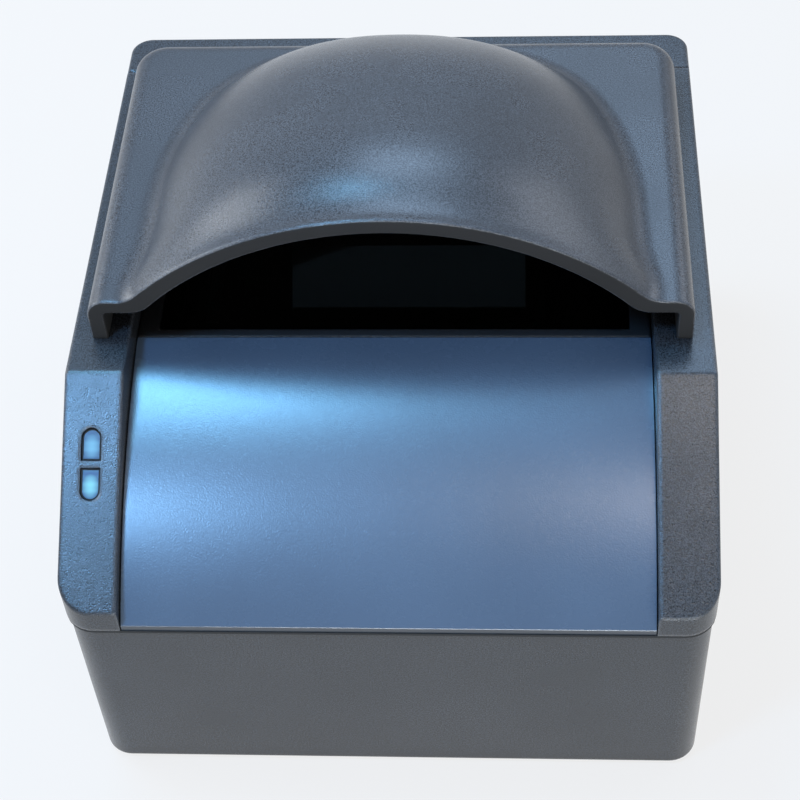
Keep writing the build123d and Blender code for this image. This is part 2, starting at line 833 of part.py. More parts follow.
with BuildPart() as rear_cover:
    with BuildSketch(Plane.XY.offset(foot_lift)):
        add(rear_plan)
    extrude(amount=ledge_height - foot_lift)
    fillet(rear_cover.edges().group_by(Axis.Z)[-1].sort_by(Axis.Y)[1:], edge_radius)
    fillet(rear_cover.edges().group_by(Axis.Z)[0].sort_by(Axis.Y)[1:], edge_radius)
    with BuildSketch(Plane.XY.offset(floor_top)):
        add(rear_cavity_plan)
    extrude(amount=ledge_height - case_wall - floor_top, mode=Mode.SUBTRACT)
    with BuildSketch(Plane.XZ.offset(-split_y)):
        add(tongue_section)
    extrude(amount=tongue_reach)
    with BuildSketch(Plane.XZ.offset(-split_y)):
        add(root_section)
    extrude(amount=-tongue_reach)
    with BuildSketch(Plane.XZ.offset(-split_y)):
        with Locations((-rear_screw_x, rear_screw_z), (rear_screw_x, rear_screw_z)):
            Circle(rear_boss_radius)
    extrude(amount=split_y - rear_y + case_wall / 2)
    with BuildSketch(Plane.XZ.offset(-split_y)):
        with Locations((-rear_screw_x, rear_screw_z), (rear_screw_x, rear_screw_z)):
            Circle(screw_radius + screw_slack)
    extrude(amount=split_y - rear_y, mode=Mode.SUBTRACT)
    with BuildSketch(Plane.XZ.offset(-rear_y)):
        with Locations((-rear_screw_x, rear_screw_z), (rear_screw_x, rear_screw_z)):
            Circle(tower_bore_radius)
    extrude(amount=rear_seat_depth, mode=Mode.SUBTRACT)
    with BuildSketch(Plane.XZ.offset(-rear_y)):
        with Locations((usb_x, board_top + usb_height / 2)):
            Rectangle(usb_width + 2 * socket_gap, usb_height + 2 * socket_gap)
        with Locations((jack_x, board_top + jack_height / 2)):
            Rectangle(jack_width + 2 * socket_gap, jack_height + 2 * socket_gap)
        with Locations(rear_vent_spots):
            Rectangle(rear_vent_width, rear_vent_length)
    extrude(amount=case_wall, mode=Mode.SUBTRACT)
rear_cover.part.label = "rear_cover"
export_step(rear_cover.part, "parts/rear_cover.step")

# Rest plate with the lip that stands on the seat
plate_start = (plate_front_y, bed_height(plate_front_y, 0))
plate_middle_y = (plate_front_y + window_front_y) / 2
lip_y = seat_step_y + seat_step_gap
under_middle_y = (plate_front_y + lip_y) / 2

with BuildPart() as rest_plate:
    with BuildSketch(Plane.YZ) as plate_side:
        with BuildLine():
            ThreePointArc(
                plate_start,
                (plate_middle_y, bed_height(plate_middle_y, 0)),
                (window_front_y, window_height),
            )
            Polyline(
                (window_front_y, window_height),
                (window_front_y, frame_bottom),
                (lip_y, frame_bottom),
                (lip_y, bed_height(lip_y, plate_thickness)),
            )
            ThreePointArc(
                (lip_y, bed_height(lip_y, plate_thickness)),
                (under_middle_y, bed_height(under_middle_y, plate_thickness)),
                (plate_front_y, bed_height(plate_front_y, plate_thickness)),
            )
            Line((plate_front_y, bed_height(plate_front_y, plate_thickness)), plate_start)
        make_face()
        fillet(plate_side.vertices().sort_by_distance((*plate_start, 0))[0], plate_nose_radius)
    extrude(amount=bed_half_width, both=True)
rest_plate.part.label = "rest_plate"
export_step(rest_plate.part, "parts/rest_plate.step")

# Window frame, gasket and glass
frame_depth = frame_rear_y - frame_front_y
view_opening = (glass_width - 2 * glass_overlap, glass_depth - 2 * glass_overlap)
with BuildPart() as window_frame:
    with Locations((0, window_center_y, window_height - frame_thickness / 2)):
        Box(2 * bed_half_width, frame_depth, frame_thickness)
    with Locations((0, window_center_y, frame_bottom)):
        Box(*view_opening, 2 * frame_thickness + overrun, mode=Mode.SUBTRACT)
    with BuildSketch(Plane.XY.offset(gasket_bottom)):
        with Locations((0, window_center_y)):
            Rectangle(glass_width + 2 * glass_side_gap, glass_depth + 2 * glass_side_gap)
    extrude(amount=frame_thickness, mode=Mode.SUBTRACT)
window_frame.part.label = "window_frame"
export_step(window_frame.part, "parts/window_frame.step")

with BuildPart() as glass_gasket:
    with BuildSketch(Plane.XY.offset(gasket_bottom)):
        with Locations((0, window_center_y)):
            Rectangle(glass_width, glass_depth)
            Rectangle(*view_opening, mode=Mode.SUBTRACT)
    extrude(amount=gasket_thickness)
glass_gasket.part.label = "glass_gasket"
export_step(glass_gasket.part, "parts/glass_gasket.step")

with BuildPart() as window_glass:
    with BuildSketch(Plane.XY.offset(glass_bottom)):
        with Locations((0, window_center_y)):
            RectangleRounded(glass_width, glass_depth, glass_thickness / 2)
    extrude(amount=glass_thickness)
window_glass.part.label = "window_glass"
export_step(window_glass.part, "parts/window_glass.step")

# Hood: a lofted dome on a flat flange, hollow and open at the front
hood_outer = hood_form(0)
hood_inner = hood_form(hood_wall)

with BuildPart() as hood:
    add(hood_outer)
    add(hood_inner, mode=Mode.SUBTRACT)
    add(
        slab(
            (-body_width, hood_front_y - body_depth, 0),
            (body_width, hood_front_y, ledge_height * 2),
        ),
        mode=Mode.SUBTRACT,
    )
    mouth = hood.faces().filter_by(Axis.Y).sort_by(Axis.Y)[0]
    fillet(mouth.edges().filter_by(lambda e: e.center().Z > ledge_height + edge_radius), hood_lip_radius)
    with BuildSketch(Plane.XY.offset(ledge_height - tab_depth)):
        with Locations(tab_spots):
            Rectangle(tab_thickness, tab_length)
    extrude(amount=tab_depth + edge_radius)
hood.part.label = "hood"
export_step(hood.part, "parts/hood.step")

# Indicator lenses: a half pill each, with a flange under the wall and a light pipe
lens_width = indicator_width - 2 * lens_gap
lens_length = indicator_length - 2 * lens_gap
lens_pill = half_pill(lens_width, lens_length, indicator_bar / 2 + lens_gap)
flange_pill = half_pill(indicator_width + 2 * lens_flange, indicator_length + lens_flange, lens_gap)
pipe_y = indicator_bar / 2 + indicator_length / 2

with BuildPart() as lens_upper:
    with BuildSketch(indicator_plane.offset(-indicator_recess)):
        add(lens_pill)
    extrude(amount=-case_wall + indicator_recess)
    with BuildSketch(indicator_plane.offset(-case_wall)):
        add(flange_pill)
    extrude(amount=-lens_flange_thickness)
    with BuildSketch(indicator_plane.offset(-case_wall)):
        with Locations((0, pipe_y)):
            Circle(light_pipe_radius)
    extrude(amount=case_wall - light_pipe_end)
lens_upper.part.label = "lens_upper"
export_step(lens_upper.part, "parts/lens_upper.step")

with BuildPart() as lens_lower:
    with BuildSketch(indicator_plane.offset(-indicator_recess)):
        add(lens_pill, rotation=half_turn)
    extrude(amount=-case_wall + indicator_recess)
    with BuildSketch(indicator_plane.offset(-case_wall)):
        add(flange_pill, rotation=half_turn)
    extrude(amount=-lens_flange_thickness)
    with BuildSketch(indicator_plane.offset(-case_wall)):
        with Locations((0, -pipe_y)):
            Circle(light_pipe_radius)
    extrude(amount=case_wall - light_pipe_end)
lens_lower.part.label = "lens_lower"
export_step(lens_lower.part, "parts/lens_lower.step")

with BuildPart() as indicator_board:
    with BuildSketch(indicator_plane.offset(-indicator_board_top)):
        Rectangle(indicator_board_width, indicator_board_length)
        with Locations(post_spots):
            Circle(tiny_screw_radius + screw_slack, mode=Mode.SUBTRACT)
    extrude(amount=-board_thickness)
indicator_board.part.label = "indicator_board"
export_step(indicator_board.part, "parts/indicator_board.step")

with BuildPart() as indicator_leds:
    with BuildSketch(indicator_plane.offset(-indicator_board_top)):
        with Locations((0, -pipe_y), (0, pipe_y)):
            Rectangle(indicator_led_size, indicator_led_size)
    extrude(amount=indicator_led_height)
indicator_leds.part.label = "indicator_leds"
export_step(indicator_leds.part, "parts/indicator_leds.step")


def foot_at(x, y):
    """Round foot with a chamfered tread."""
    with BuildPart() as body:
        with BuildSketch():
            with Locations((x, y)):
                Circle(foot_radius)
        extrude(amount=foot_lift + foot_pocket_depth)
        chamfer(body.edges().group_by(Axis.Z)[0], foot_edge)
    return body.part


foot_a = foot_at(-foot_x, foot_front_y)
foot_a.label = "foot_front_left"
export_step(foot_a, "parts/foot_front_left.step")
foot_b = foot_at(foot_x, foot_front_y)
foot_b.label = "foot_front_right"
export_step(foot_b, "parts/foot_front_right.step")
foot_c = foot_at(-foot_x, foot_rear_y)
foot_c.label = "foot_rear_left"
export_step(foot_c, "parts/foot_rear_left.step")
foot_d = foot_at(foot_x, foot_rear_y)
foot_d.label = "foot_rear_right"
export_step(foot_d, "parts/foot_rear_right.step")

# Light box around the optical path, with lamp shelves and screw lugs
inner_half = box_half_width - box_wall
box_inner_front_y = box_front_y + box_wall
box_inner_rear_y = box_rear_y - box_wall
lug_top = box_bottom + lug_thickness
shelf_low_top = lamp_z - lamp_height / 2 - shelf_margin
shelf_high_bottom = lamp_z + lamp_height / 2 + shelf_margin
antenna_bottom = box_top - board_thickness

with BuildPart() as light_box:
    add(slab((-box_half_width, box_front_y, box_bottom), (box_half_width, box_rear_y, box_top)))
    add(
        slab(
            (-inner_half, box_inner_front_y, box_bottom - overrun),
            (inner_half, box_inner_rear_y, box_top + overrun),
        ),
        mode=Mode.SUBTRACT,
    )
    add(
        slab(
            (-view_width / 2, box_front_y - overrun, box_bottom - overrun),
            (view_width / 2, box_inner_front_y, axis_height + view_height / 2),
        ),
        mode=Mode.SUBTRACT,
    )
    for side in (-1, 1):
        near = side * (inner_half - shelf_reach)
        far = side * (inner_half + box_wall / 2)
        left, right = sorted((near, far))
        for shelf_bottom in (shelf_low_top - shelf_thickness, shelf_high_bottom):
            shelf_top = shelf_bottom + shelf_thickness
            add(slab((left, box_inner_front_y, shelf_bottom), (right, box_inner_rear_y, shelf_top)))
        left, right = sorted((side * (inner_half - antenna_shelf_reach), far))
        add(slab((left, lug_front_y, antenna_bottom - shelf_thickness), (right, lug_rear_y, antenna_bottom)))
        left, right = sorted((side * (inner_half + box_wall / 2), side * (lug_x + lug_length / 2)))
        for y in (lug_front_y, lug_rear_y):
            add(slab((left, y - lug_length / 2, box_bottom), (right, y + lug_length / 2, lug_top)))
    with BuildSketch(Plane.XY.offset(box_bottom)):
        with Locations(lug_spots):
            Circle(screw_radius + screw_slack)
    extrude(amount=lug_thickness, mode=Mode.SUBTRACT)
light_box.part.label = "light_box"
export_step(light_box.part, "parts/light_box.step")

# Folding mirror in its holder
with BuildPart() as mirror_pane:
    with BuildSketch(mirror_plane):
        Rectangle(mirror_width, mirror_length)
    extrude(amount=-mirror_thickness)
mirror_pane.part.label = "mirror"
export_step(mirror_pane.part, "parts/mirror.step")

leg_shift = mirror_y - axis_height + (mirror_thickness + tray_thickness / 2) * sqrt(2)
holder_foot_x = holder_screw_x - leg_thickness / 2
with BuildPart() as mirror_holder:
    with BuildSketch(mirror_plane.offset(-mirror_thickness - tray_thickness)):
        Rectangle(tray_width, tray_length)
    extrude(amount=tray_thickness + tray_lip)
    with BuildSketch(mirror_plane.offset(-mirror_thickness)):
        Rectangle(mirror_width + 2 * mirror_gap, mirror_length + 2 * mirror_gap)
    extrude(amount=tray_lip, mode=Mode.SUBTRACT)
    for side in (-1, 1):
        with BuildSketch(Plane.YZ.offset(side * leg_x)):
            with BuildLine():
                Polyline(
                    (board_bottom + leg_shift, board_bottom),
                    (leg_rear_y, board_bottom),
                    (leg_rear_y, leg_rear_y - leg_shift),
                    close=True,
                )
            make_face()
        extrude(amount=leg_thickness / 2, both=True)
    with BuildSketch(Plane.XY.offset(board_bottom)):
        with Locations([(x, y) for x in (-holder_foot_x, holder_foot_x) for y in holder_screw_ys]):
            Rectangle(holder_foot_size + leg_thickness, holder_foot_size)
    extrude(amount=holder_foot_thickness)
    with BuildSketch(Plane.XY.offset(board_bottom)):
        with Locations([(x, y) for x in (-holder_screw_x, holder_screw_x) for y in holder_screw_ys]):
            Circle(small_screw_radius + screw_slack)
    extrude(amount=holder_foot_thickness, mode=Mode.SUBTRACT)
mirror_holder.part.label = "mirror_holder"
export_step(mirror_holder.part, "parts/mirror_holder.step")

# Lamps on both sides of the light box
lamp_bottom = lamp_z - lamp_height / 2
lamp_face_x = inner_half - board_thickness
first_row_z = lamp_z - lamp_row_pitch * (lamp_led_rows - 1) / 2
first_column_y = lamp_center_y - lamp_led_pitch * (lamp_led_columns - 1) / 2
lamp_rows = [first_row_z + lamp_row_pitch * n for n in range(lamp_led_rows)]
lamp_columns = [first_column_y + lamp_led_pitch * n for n in range(lamp_led_columns)]
half_led = lamp_led / 2


def lamp_board(side):
    """Lamp board against one side wall of the light box."""
    left, right = sorted((side * lamp_face_x, side * inner_half))
    return slab(
        (left, lamp_center_y - lamp_length / 2, lamp_bottom),
        (right, lamp_center_y + lamp_length / 2, lamp_bottom + lamp_height),
    )


def lamp_leds(side):
    """Rows of LEDs on a lamp board."""
    left, right = sorted((side * lamp_face_x, side * (lamp_face_x - lamp_led_height)))
    with BuildPart() as body:
        for z in lamp_rows:
            for y in lamp_columns:
                add(slab((left, y - half_led, z - half_led), (right, y + half_led, z + half_led)))
    return body.part


def diffuser(side):
    """Milky pane in front of the LEDs."""
    left, right = sorted((side * diffuser_x, side * (diffuser_x + diffuser_thickness)))
    return slab(
        (left, lamp_center_y - lamp_length / 2 - diffuser_margin, shelf_low_top),
        (right, lamp_center_y + lamp_length / 2 + diffuser_margin, shelf_high_bottom),
    )


lamp_board_left = lamp_board(-1)
lamp_board_left.label = "lamp_board_left"
export_step(lamp_board_left, "parts/lamp_board_left.step")
lamp_board_right = lamp_board(1)
lamp_board_right.label = "lamp_board_right"
export_step(lamp_board_right, "parts/lamp_board_right.step")
lamp_leds_left = lamp_leds(-1)
lamp_leds_left.label = "lamp_leds_left"
export_step(lamp_leds_left, "parts/lamp_leds_left.step")
lamp_leds_right = lamp_leds(1)
lamp_leds_right.label = "lamp_leds_right"
export_step(lamp_leds_right, "parts/lamp_leds_right.step")
diffuser_left = diffuser(-1)
diffuser_left.label = "diffuser_left"
export_step(diffuser_left, "parts/diffuser_left.step")
diffuser_right = diffuser(1)
diffuser_right.label = "diffuser_right"
export_step(diffuser_right, "parts/diffuser_right.step")

# Ultraviolet lamp on the rear wall of the light box
uv_face_y = box_rear_y - box_wall - board_thickness
with BuildPart() as uv_board:
    add(
        slab(
            (-uv_width / 2, uv_face_y, uv_z - uv_height / 2),
            (uv_width / 2, box_rear_y - box_wall, uv_z + uv_height / 2),
        )
    )
uv_board.part.label = "uv_board"
export_step(uv_board.part, "parts/uv_board.step")

with BuildPart() as uv_leds:
    for n in range(uv_led_count):
        x = uv_led_pitch * (n - (uv_led_count - 1) / 2)
        with Locations((x, uv_face_y - uv_led_height / 2, uv_z)):
            Box(uv_led, uv_led_height, uv_led)
uv_leds.part.label = "uv_leds"
export_step(uv_leds.part, "parts/uv_leds.step")

# Antenna ring under the window
ring_inner_half = inner_half - antenna_ring_width
with BuildPart() as antenna_board:
    add(
        slab(
            (-inner_half + antenna_edge_gap, box_front_y + box_wall + antenna_edge_gap, antenna_bottom),
            (inner_half - antenna_edge_gap, box_rear_y - box_wall - antenna_edge_gap, box_top),
        )
    )
    add(
        slab(
            (-ring_inner_half, box_front_y + antenna_ring_width, antenna_bottom - overrun),
            (ring_inner_half, box_inner_rear_y - antenna_ring_width, box_top + overrun),
        ),
        mode=Mode.SUBTRACT,
    )
antenna_board.part.label = "antenna_board"
export_step(antenna_board.part, "parts/antenna_board.step")

# Radio board on the left and lamp driver board on the right
with BuildPart() as radio_board:
    with BuildSketch(Plane.XY.offset(board_bottom)):
        with Locations((-side_board_x, side_board_y)):
            Rectangle(side_board_width, side_board_length)
            with Locations(side_board_spots):
                Circle(small_screw_radius + screw_slack, mode=Mode.SUBTRACT)
    extrude(amount=board_thickness)
radio_board.part.label = "radio_board"
export_step(radio_board.part, "parts/radio_board.step")

with BuildPart() as radio_shield:
    with Locations((-side_board_x, side_board_y, board_top + shield_height / 2)):
        Box(shield_size, shield_size, shield_height)
    with BuildSketch(Plane.XY.offset(board_top)):
        with Locations((-side_board_x, side_board_y)):
            Rectangle(shield_size - 2 * shield_sheet, shield_size - 2 * shield_sheet)
    extrude(amount=shield_height - shield_sheet, mode=Mode.SUBTRACT)
radio_shield.part.label = "radio_shield"
export_step(radio_shield.part, "parts/radio_shield.step")

with BuildPart() as driver_board:
    with BuildSketch(Plane.XY.offset(board_bottom)):
        with Locations((side_board_x, side_board_y)):
            Rectangle(side_board_width, side_board_length)
            with Locations(side_board_spots):
                Circle(small_screw_radius + screw_slack, mode=Mode.SUBTRACT)
    extrude(amount=board_thickness)
driver_board.part.label = "driver_board"
export_step(driver_board.part, "parts/driver_board.step")

with BuildPart() as driver_coils:
    with BuildSketch(Plane.XY.offset(board_top)):
        for y in (side_board_y - coil_shift, side_board_y + coil_shift):
            with Locations((side_board_x, y)):
                Circle(coil_radius)
    extrude(amount=coil_height)
driver_coils.part.label = "driver_coils"
export_step(driver_coils.part, "parts/driver_coils.step")

# Main board and what it carries
with BuildPart() as main_board:
    with BuildSketch(Plane.XY.offset(board_bottom)):
        with Locations((0, (main_board_front_y + main_board_rear_y) / 2)):
            Rectangle(main_board_width, main_board_rear_y - main_board_front_y)
        for y in main_standoff_ys:
            with Locations((-main_standoff_x, y), (main_standoff_x, y)):
                Circle(small_screw_radius + screw_slack, mode=Mode.SUBTRACT)
    extrude(amount=board_thickness)
main_board.part.label = "main_board"
export_step(main_board.part, "parts/main_board.step")

with BuildPart() as processor:
    with Locations((chip_x, chip_y, board_top + chip_height / 2)):
        Box(chip_size, chip_size, chip_height)
processor.part.label = "processor"
export_step(processor.part, "parts/processor.step")

fin_spots = [chip_x + fin_pitch * (n - (fin_count - 1) / 2) for n in range(fin_count)]
sink_bottom = board_top + chip_height
with BuildPart() as heat_sink:
    add(
        slab(
            (chip_x - sink_width / 2, chip_y - sink_depth / 2, sink_bottom),
            (chip_x + sink_width / 2, chip_y + sink_depth / 2, sink_bottom + sink_base),
        )
    )
    for x in fin_spots:
        add(
            slab(
                (x - fin_thickness / 2, chip_y - sink_depth / 2, sink_bottom),
                (x + fin_thickness / 2, chip_y + sink_depth / 2, sink_bottom + sink_height),
            )
        )
heat_sink.part.label = "heat_sink"
export_step(heat_sink.part, "parts/heat_sink.step")

with BuildPart() as capacitors:
    with BuildSketch(Plane.XY.offset(board_top)):
        with Locations(*capacitor_spots):
            Circle(capacitor_radius)
    extrude(amount=capacitor_height)
    chamfer(capacitors.edges().group_by(Axis.Z)[-1], capacitor_edge)
capacitors.part.label = "capacitors"
export_step(capacitors.part, "parts/capacitors.step")

with BuildPart() as board_connectors:
    for x, y in connector_spots:
        with Locations((x, y, board_top + connector_height / 2)):
            Box(connector_width, connector_depth, connector_height)
board_connectors.part.label = "board_connectors"
export_step(board_connectors.part, "parts/board_connectors.step")

with BuildPart() as buzzer:
    with BuildSketch(Plane.XY.offset(board_top)):
        with Locations((buzzer_x, buzzer_y)):
            Circle(buzzer_radius)
    extrude(amount=buzzer_height)
    with BuildSketch(Plane.XY.offset(board_top + buzzer_height)):
        with Locations((buzzer_x, buzzer_y)):
            Circle(buzzer_hole_radius)
    extrude(amount=-buzzer_height / 2, mode=Mode.SUBTRACT)
buzzer.part.label = "buzzer"
export_step(buzzer.part, "parts/buzzer.step")

usb_middle_z = board_top + usb_height / 2
with BuildPart() as usb_socket:
    with Locations((usb_x, socket_front_y - usb_depth / 2, usb_middle_z)):
        Box(usb_width, usb_depth, usb_height)
    with BuildSketch(Plane.XZ.offset(-socket_front_y)):
        with Locations((usb_x, usb_middle_z)):
            Rectangle(usb_width - 2 * usb_wall, usb_height - 2 * usb_wall)
            Rectangle(usb_tongue_width, usb_tongue_height, mode=Mode.SUBTRACT)
    extrude(amount=usb_depth / 2, mode=Mode.SUBTRACT)
usb_socket.part.label = "usb_socket"
export_step(usb_socket.part, "parts/usb_socket.step")

jack_middle_z = board_top + jack_height / 2
with BuildPart() as power_jack:
    with Locations((jack_x, socket_front_y - jack_depth / 2, jack_middle_z)):
        Box(jack_width, jack_depth, jack_height)
    with BuildSketch(Plane.XZ.offset(-socket_front_y)):
        with Locations((jack_x, jack_middle_z)):
            Circle(jack_bore_radius)
    extrude(amount=jack_bore_depth, mode=Mode.SUBTRACT)
power_jack.part.label = "power_jack"
export_step(power_jack.part, "parts/power_jack.step")

with BuildPart() as jack_pin:
    with BuildSketch(Plane.XZ.offset(-socket_front_y + jack_bore_depth)):
        with Locations((jack_x, jack_middle_z)):
            Circle(jack_pin_radius)
    extrude(amount=-jack_bore_depth + socket_reveal)
jack_pin.part.label = "jack_pin"
export_step(jack_pin.part, "parts/jack_pin.step")

# Camera: bracket, board, sensor and lens
camera_plane = Plane(origin=(0, bracket_y, axis_height), x_dir=(1, 0, 0), z_dir=(0, 1, 0))
camera_spread = camera_screw_spread / 2
camera_spots = [(-camera_spread, camera_spread), (camera_spread, -camera_spread)]
gusset_y = bracket_y + bracket_thickness / 2

with BuildPart() as camera_bracket:
    add(
        slab(
            (-bracket_half_width, bracket_y, board_bottom),
            (bracket_half_width, bracket_y + bracket_thickness, bracket_top),
        )
    )
    add(
        slab(
            (-bracket_half_width, bracket_y, board_bottom),
            (bracket_half_width, bracket_y + bracket_foot, board_bottom + bracket_thickness),
        )
    )
    for side in (-1, 1):
        with BuildSketch(Plane.YZ.offset(side * (bracket_half_width - bracket_thickness / 2))):
            with BuildLine():
                Polyline(
                    (gusset_y, board_bottom + bracket_thickness / 2),
                    (bracket_y + bracket_foot, board_bottom + bracket_thickness / 2),
                    (gusset_y, axis_height),
                    close=True,
                )
            make_face()
        extrude(amount=bracket_thickness / 2, both=True)
    with BuildSketch(camera_plane):
        Rectangle(bracket_window, bracket_window)
        with Locations(camera_spots):
            Circle(tiny_screw_radius + thread_slack)
    extrude(amount=bracket_thickness, mode=Mode.SUBTRACT)
    with BuildSketch(Plane.XY.offset(board_bottom)):
        with Locations((-bracket_post_x, bracket_post_y), (bracket_post_x, bracket_post_y)):
            Circle(small_screw_radius + screw_slack)
    extrude(amount=bracket_thickness, mode=Mode.SUBTRACT)
camera_bracket.part.label = "camera_bracket"
export_step(camera_bracket.part, "parts/camera_bracket.step")

with BuildPart() as camera_board:
    with BuildSketch(camera_plane):
        Rectangle(camera_board_size, camera_board_size)
        with Locations(camera_spots):
            Circle(tiny_screw_radius + screw_slack, mode=Mode.SUBTRACT)
    extrude(amount=-board_thickness)
camera_board.part.label = "camera_board"
export_step(camera_board.part, "parts/camera_board.step")

with BuildPart() as camera_connector:
    with BuildSketch(camera_plane.offset(-board_thickness)):
        with Locations((0, camera_connector_drop)):
            Rectangle(connector_width, connector_depth)
    extrude(amount=-connector_height / 2)
camera_connector.part.label = "camera_connector"
export_step(camera_connector.part, "parts/camera_connector.step")

with BuildPart() as image_sensor:
    with BuildSketch(camera_plane):
        Rectangle(sensor_size, sensor_size)
    extrude(amount=sensor_height)
image_sensor.part.label = "image_sensor"
export_step(image_sensor.part, "parts/image_sensor.step")

with BuildPart() as lens_holder:
    with BuildSketch(camera_plane):
        Rectangle(holder_size, holder_size)
    extrude(amount=holder_base_depth)
    with BuildSketch(camera_plane.offset(holder_base_depth)):
        Circle(holder_tube_radius)
    extrude(amount=holder_tube_length)
    with BuildSketch(camera_plane):
        Rectangle(holder_cavity, holder_cavity)
    extrude(amount=holder_cavity_depth, mode=Mode.SUBTRACT)
    with BuildSketch(camera_plane):
        Circle(barrel_radius + thread_slack)
    extrude(amount=holder_base_depth + holder_tube_length, mode=Mode.SUBTRACT)
lens_holder.part.label = "lens_holder"
export_step(lens_holder.part, "parts/lens_holder.step")

rim_start = holder_cavity_depth + barrel_length - barrel_rim_length
with BuildPart() as lens_barrel:
    with BuildSketch(camera_plane.offset(holder_cavity_depth)):
        Circle(barrel_radius)
    extrude(amount=barrel_length)
    with BuildSketch(camera_plane.offset(rim_start)):
        Circle(barrel_rim_radius)
    extrude(amount=barrel_rim_length)
    with BuildSketch(camera_plane.offset(holder_cavity_depth)):
        Circle(barrel_bore_radius)
    extrude(amount=barrel_length, mode=Mode.SUBTRACT)
    with BuildSketch(camera_plane.offset(rim_start + barrel_rim_length)):
        Circle(element_radius + thread_slack)
    extrude(amount=-element_thickness - element_sag, mode=Mode.SUBTRACT)
lens_barrel.part.label = "lens_barrel"
export_step(lens_barrel.part, "parts/lens_barrel.step")

ring_start = holder_base_depth + holder_tube_length
with BuildPart() as lock_ring:
    with BuildSketch(camera_plane.offset(ring_start)):
        RegularPolygon(lock_ring_radius, lock_ring_sides)
        Circle(barrel_radius + thread_slack, mode=Mode.SUBTRACT)
    extrude(amount=rim_start - ring_start)
lock_ring.part.label = "lock_ring"
export_step(lock_ring.part, "parts/lock_ring.step")

element_back = rim_start + barrel_rim_length - element_thickness - element_sag
element_edge = element_back + element_thickness
element_curve = (element_radius**2 + element_sag**2) / (2 * element_sag)
element_ball_y = bracket_y + element_edge + element_sag - element_curve
with BuildPart() as front_lens:
    with BuildSketch(camera_plane.offset(element_back)):
        Circle(element_radius)
    extrude(amount=element_thickness + element_sag)
    with Locations((0, element_ball_y, axis_height)):
        Sphere(element_curve, mode=Mode.INTERSECT)
front_lens.part.label = "front_lens"
export_step(front_lens.part, "parts/front_lens.step")

# Flat cable from the camera board along the floor to the main board
cable_back_y = bracket_y - board_thickness - connector_height / 2 - cable_thickness
cable_turn_y = main_board_front_y - cable_turn
cable_rise_y = cable_turn_y - cable_thickness
cable_end_y = connector_spots[0][1] - connector_depth / 2
cable_end_z = board_top + connector_height / 2
cable_half = cable_width / 2
with BuildPart() as camera_cable:
    add(
        slab(
            (-cable_half, cable_back_y, floor_top),
            (cable_half, cable_back_y + cable_thickness, axis_height - camera_connector_drop),
        )
    )
    add(
        slab(
            (-cable_half, cable_back_y, floor_top),
            (cable_half, cable_turn_y, floor_top + cable_thickness),
        )
    )
    add(slab((-cable_half, cable_rise_y, floor_top), (cable_half, cable_turn_y, cable_end_z)))
    add(
        slab(
            (-cable_half, cable_rise_y, cable_end_z - cable_thickness),
            (cable_half, cable_end_y, cable_end_z),
        )
    )
camera_cable.part.label = "camera_cable"
export_step(camera_cable.part, "parts/camera_cable.step")

# Screws, each kind as one node
housing_screw = screw(screw_radius, housing_screw_length, screw_head_radius, screw_head_height)
rear_screw = screw(screw_radius, rear_screw_length, screw_head_radius, screw_head_height)
lug_screw = screw(screw_radius, lug_screw_length, screw_head_radius, screw_head_height)
board_screw = screw(small_screw_radius, small_screw_length, small_head_radius, small_head_height)
small_screw = screw(tiny_screw_radius, tiny_screw_length, tiny_head_radius, tiny_head_height)

with BuildPart() as housing_screws:
    for x, y in tower_spots:
        add(Location(Plane(origin=(x, y, tower_seat), x_dir=(1, 0, 0), z_dir=(0, 0, -1))) * housing_screw)
housing_screws.part.label = "housing_screws"
export_step(housing_screws.part, "parts/housing_screws.step")

rear_seat_y = rear_y - rear_seat_depth
with BuildPart() as rear_screws:
    for x in (-rear_screw_x, rear_screw_x):
        seat = Plane(origin=(x, rear_seat_y, rear_screw_z), x_dir=(1, 0, 0), z_dir=(0, 1, 0))
        add(Location(seat) * rear_screw)
rear_screws.part.label = "rear_screws"
export_step(rear_screws.part, "parts/rear_screws.step")

with BuildPart() as lug_screws:
    for x, y in lug_spots:
        add(Location((x, y, box_bottom + lug_thickness)) * lug_screw)
lug_screws.part.label = "lug_screws"
export_step(lug_screws.part, "parts/lug_screws.step")

with BuildPart() as board_screws:
    for x, y in standoff_spots:
        seat_z = board_top
        if abs(x) == holder_screw_x and y in holder_screw_ys:
            seat_z = board_bottom + holder_foot_thickness
        if abs(x) == bracket_post_x:
            seat_z = board_bottom + bracket_thickness
        add(Location((x, y, seat_z)) * board_screw)
board_screws.part.label = "board_screws"
export_step(board_screws.part, "parts/board_screws.step")

with BuildPart() as small_screws:
    for x, y in camera_spots:
        spot = camera_plane.offset(-board_thickness).from_local_coords((x, y, 0))
        seat = Plane(origin=spot, x_dir=(1, 0, 0), z_dir=-camera_plane.z_dir)
        add(Location(seat) * small_screw)
    for x, y in post_spots:
        under = indicator_plane.offset(-indicator_board_top - board_thickness)
        spot = under.from_local_coords((x, y, 0))
        seat = Plane(origin=spot, x_dir=(1, 0, 0), z_dir=-indicator_plane.z_dir)
        add(Location(seat) * small_screw)
small_screws.part.label = "small_screws"
export_step(small_screws.part, "parts/small_screws.step")
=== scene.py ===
"""Passport reader: finishes, small fittings, soft light and the camera."""
import json
import math
import bmesh
import bpy
from mathutils import Matrix, Vector


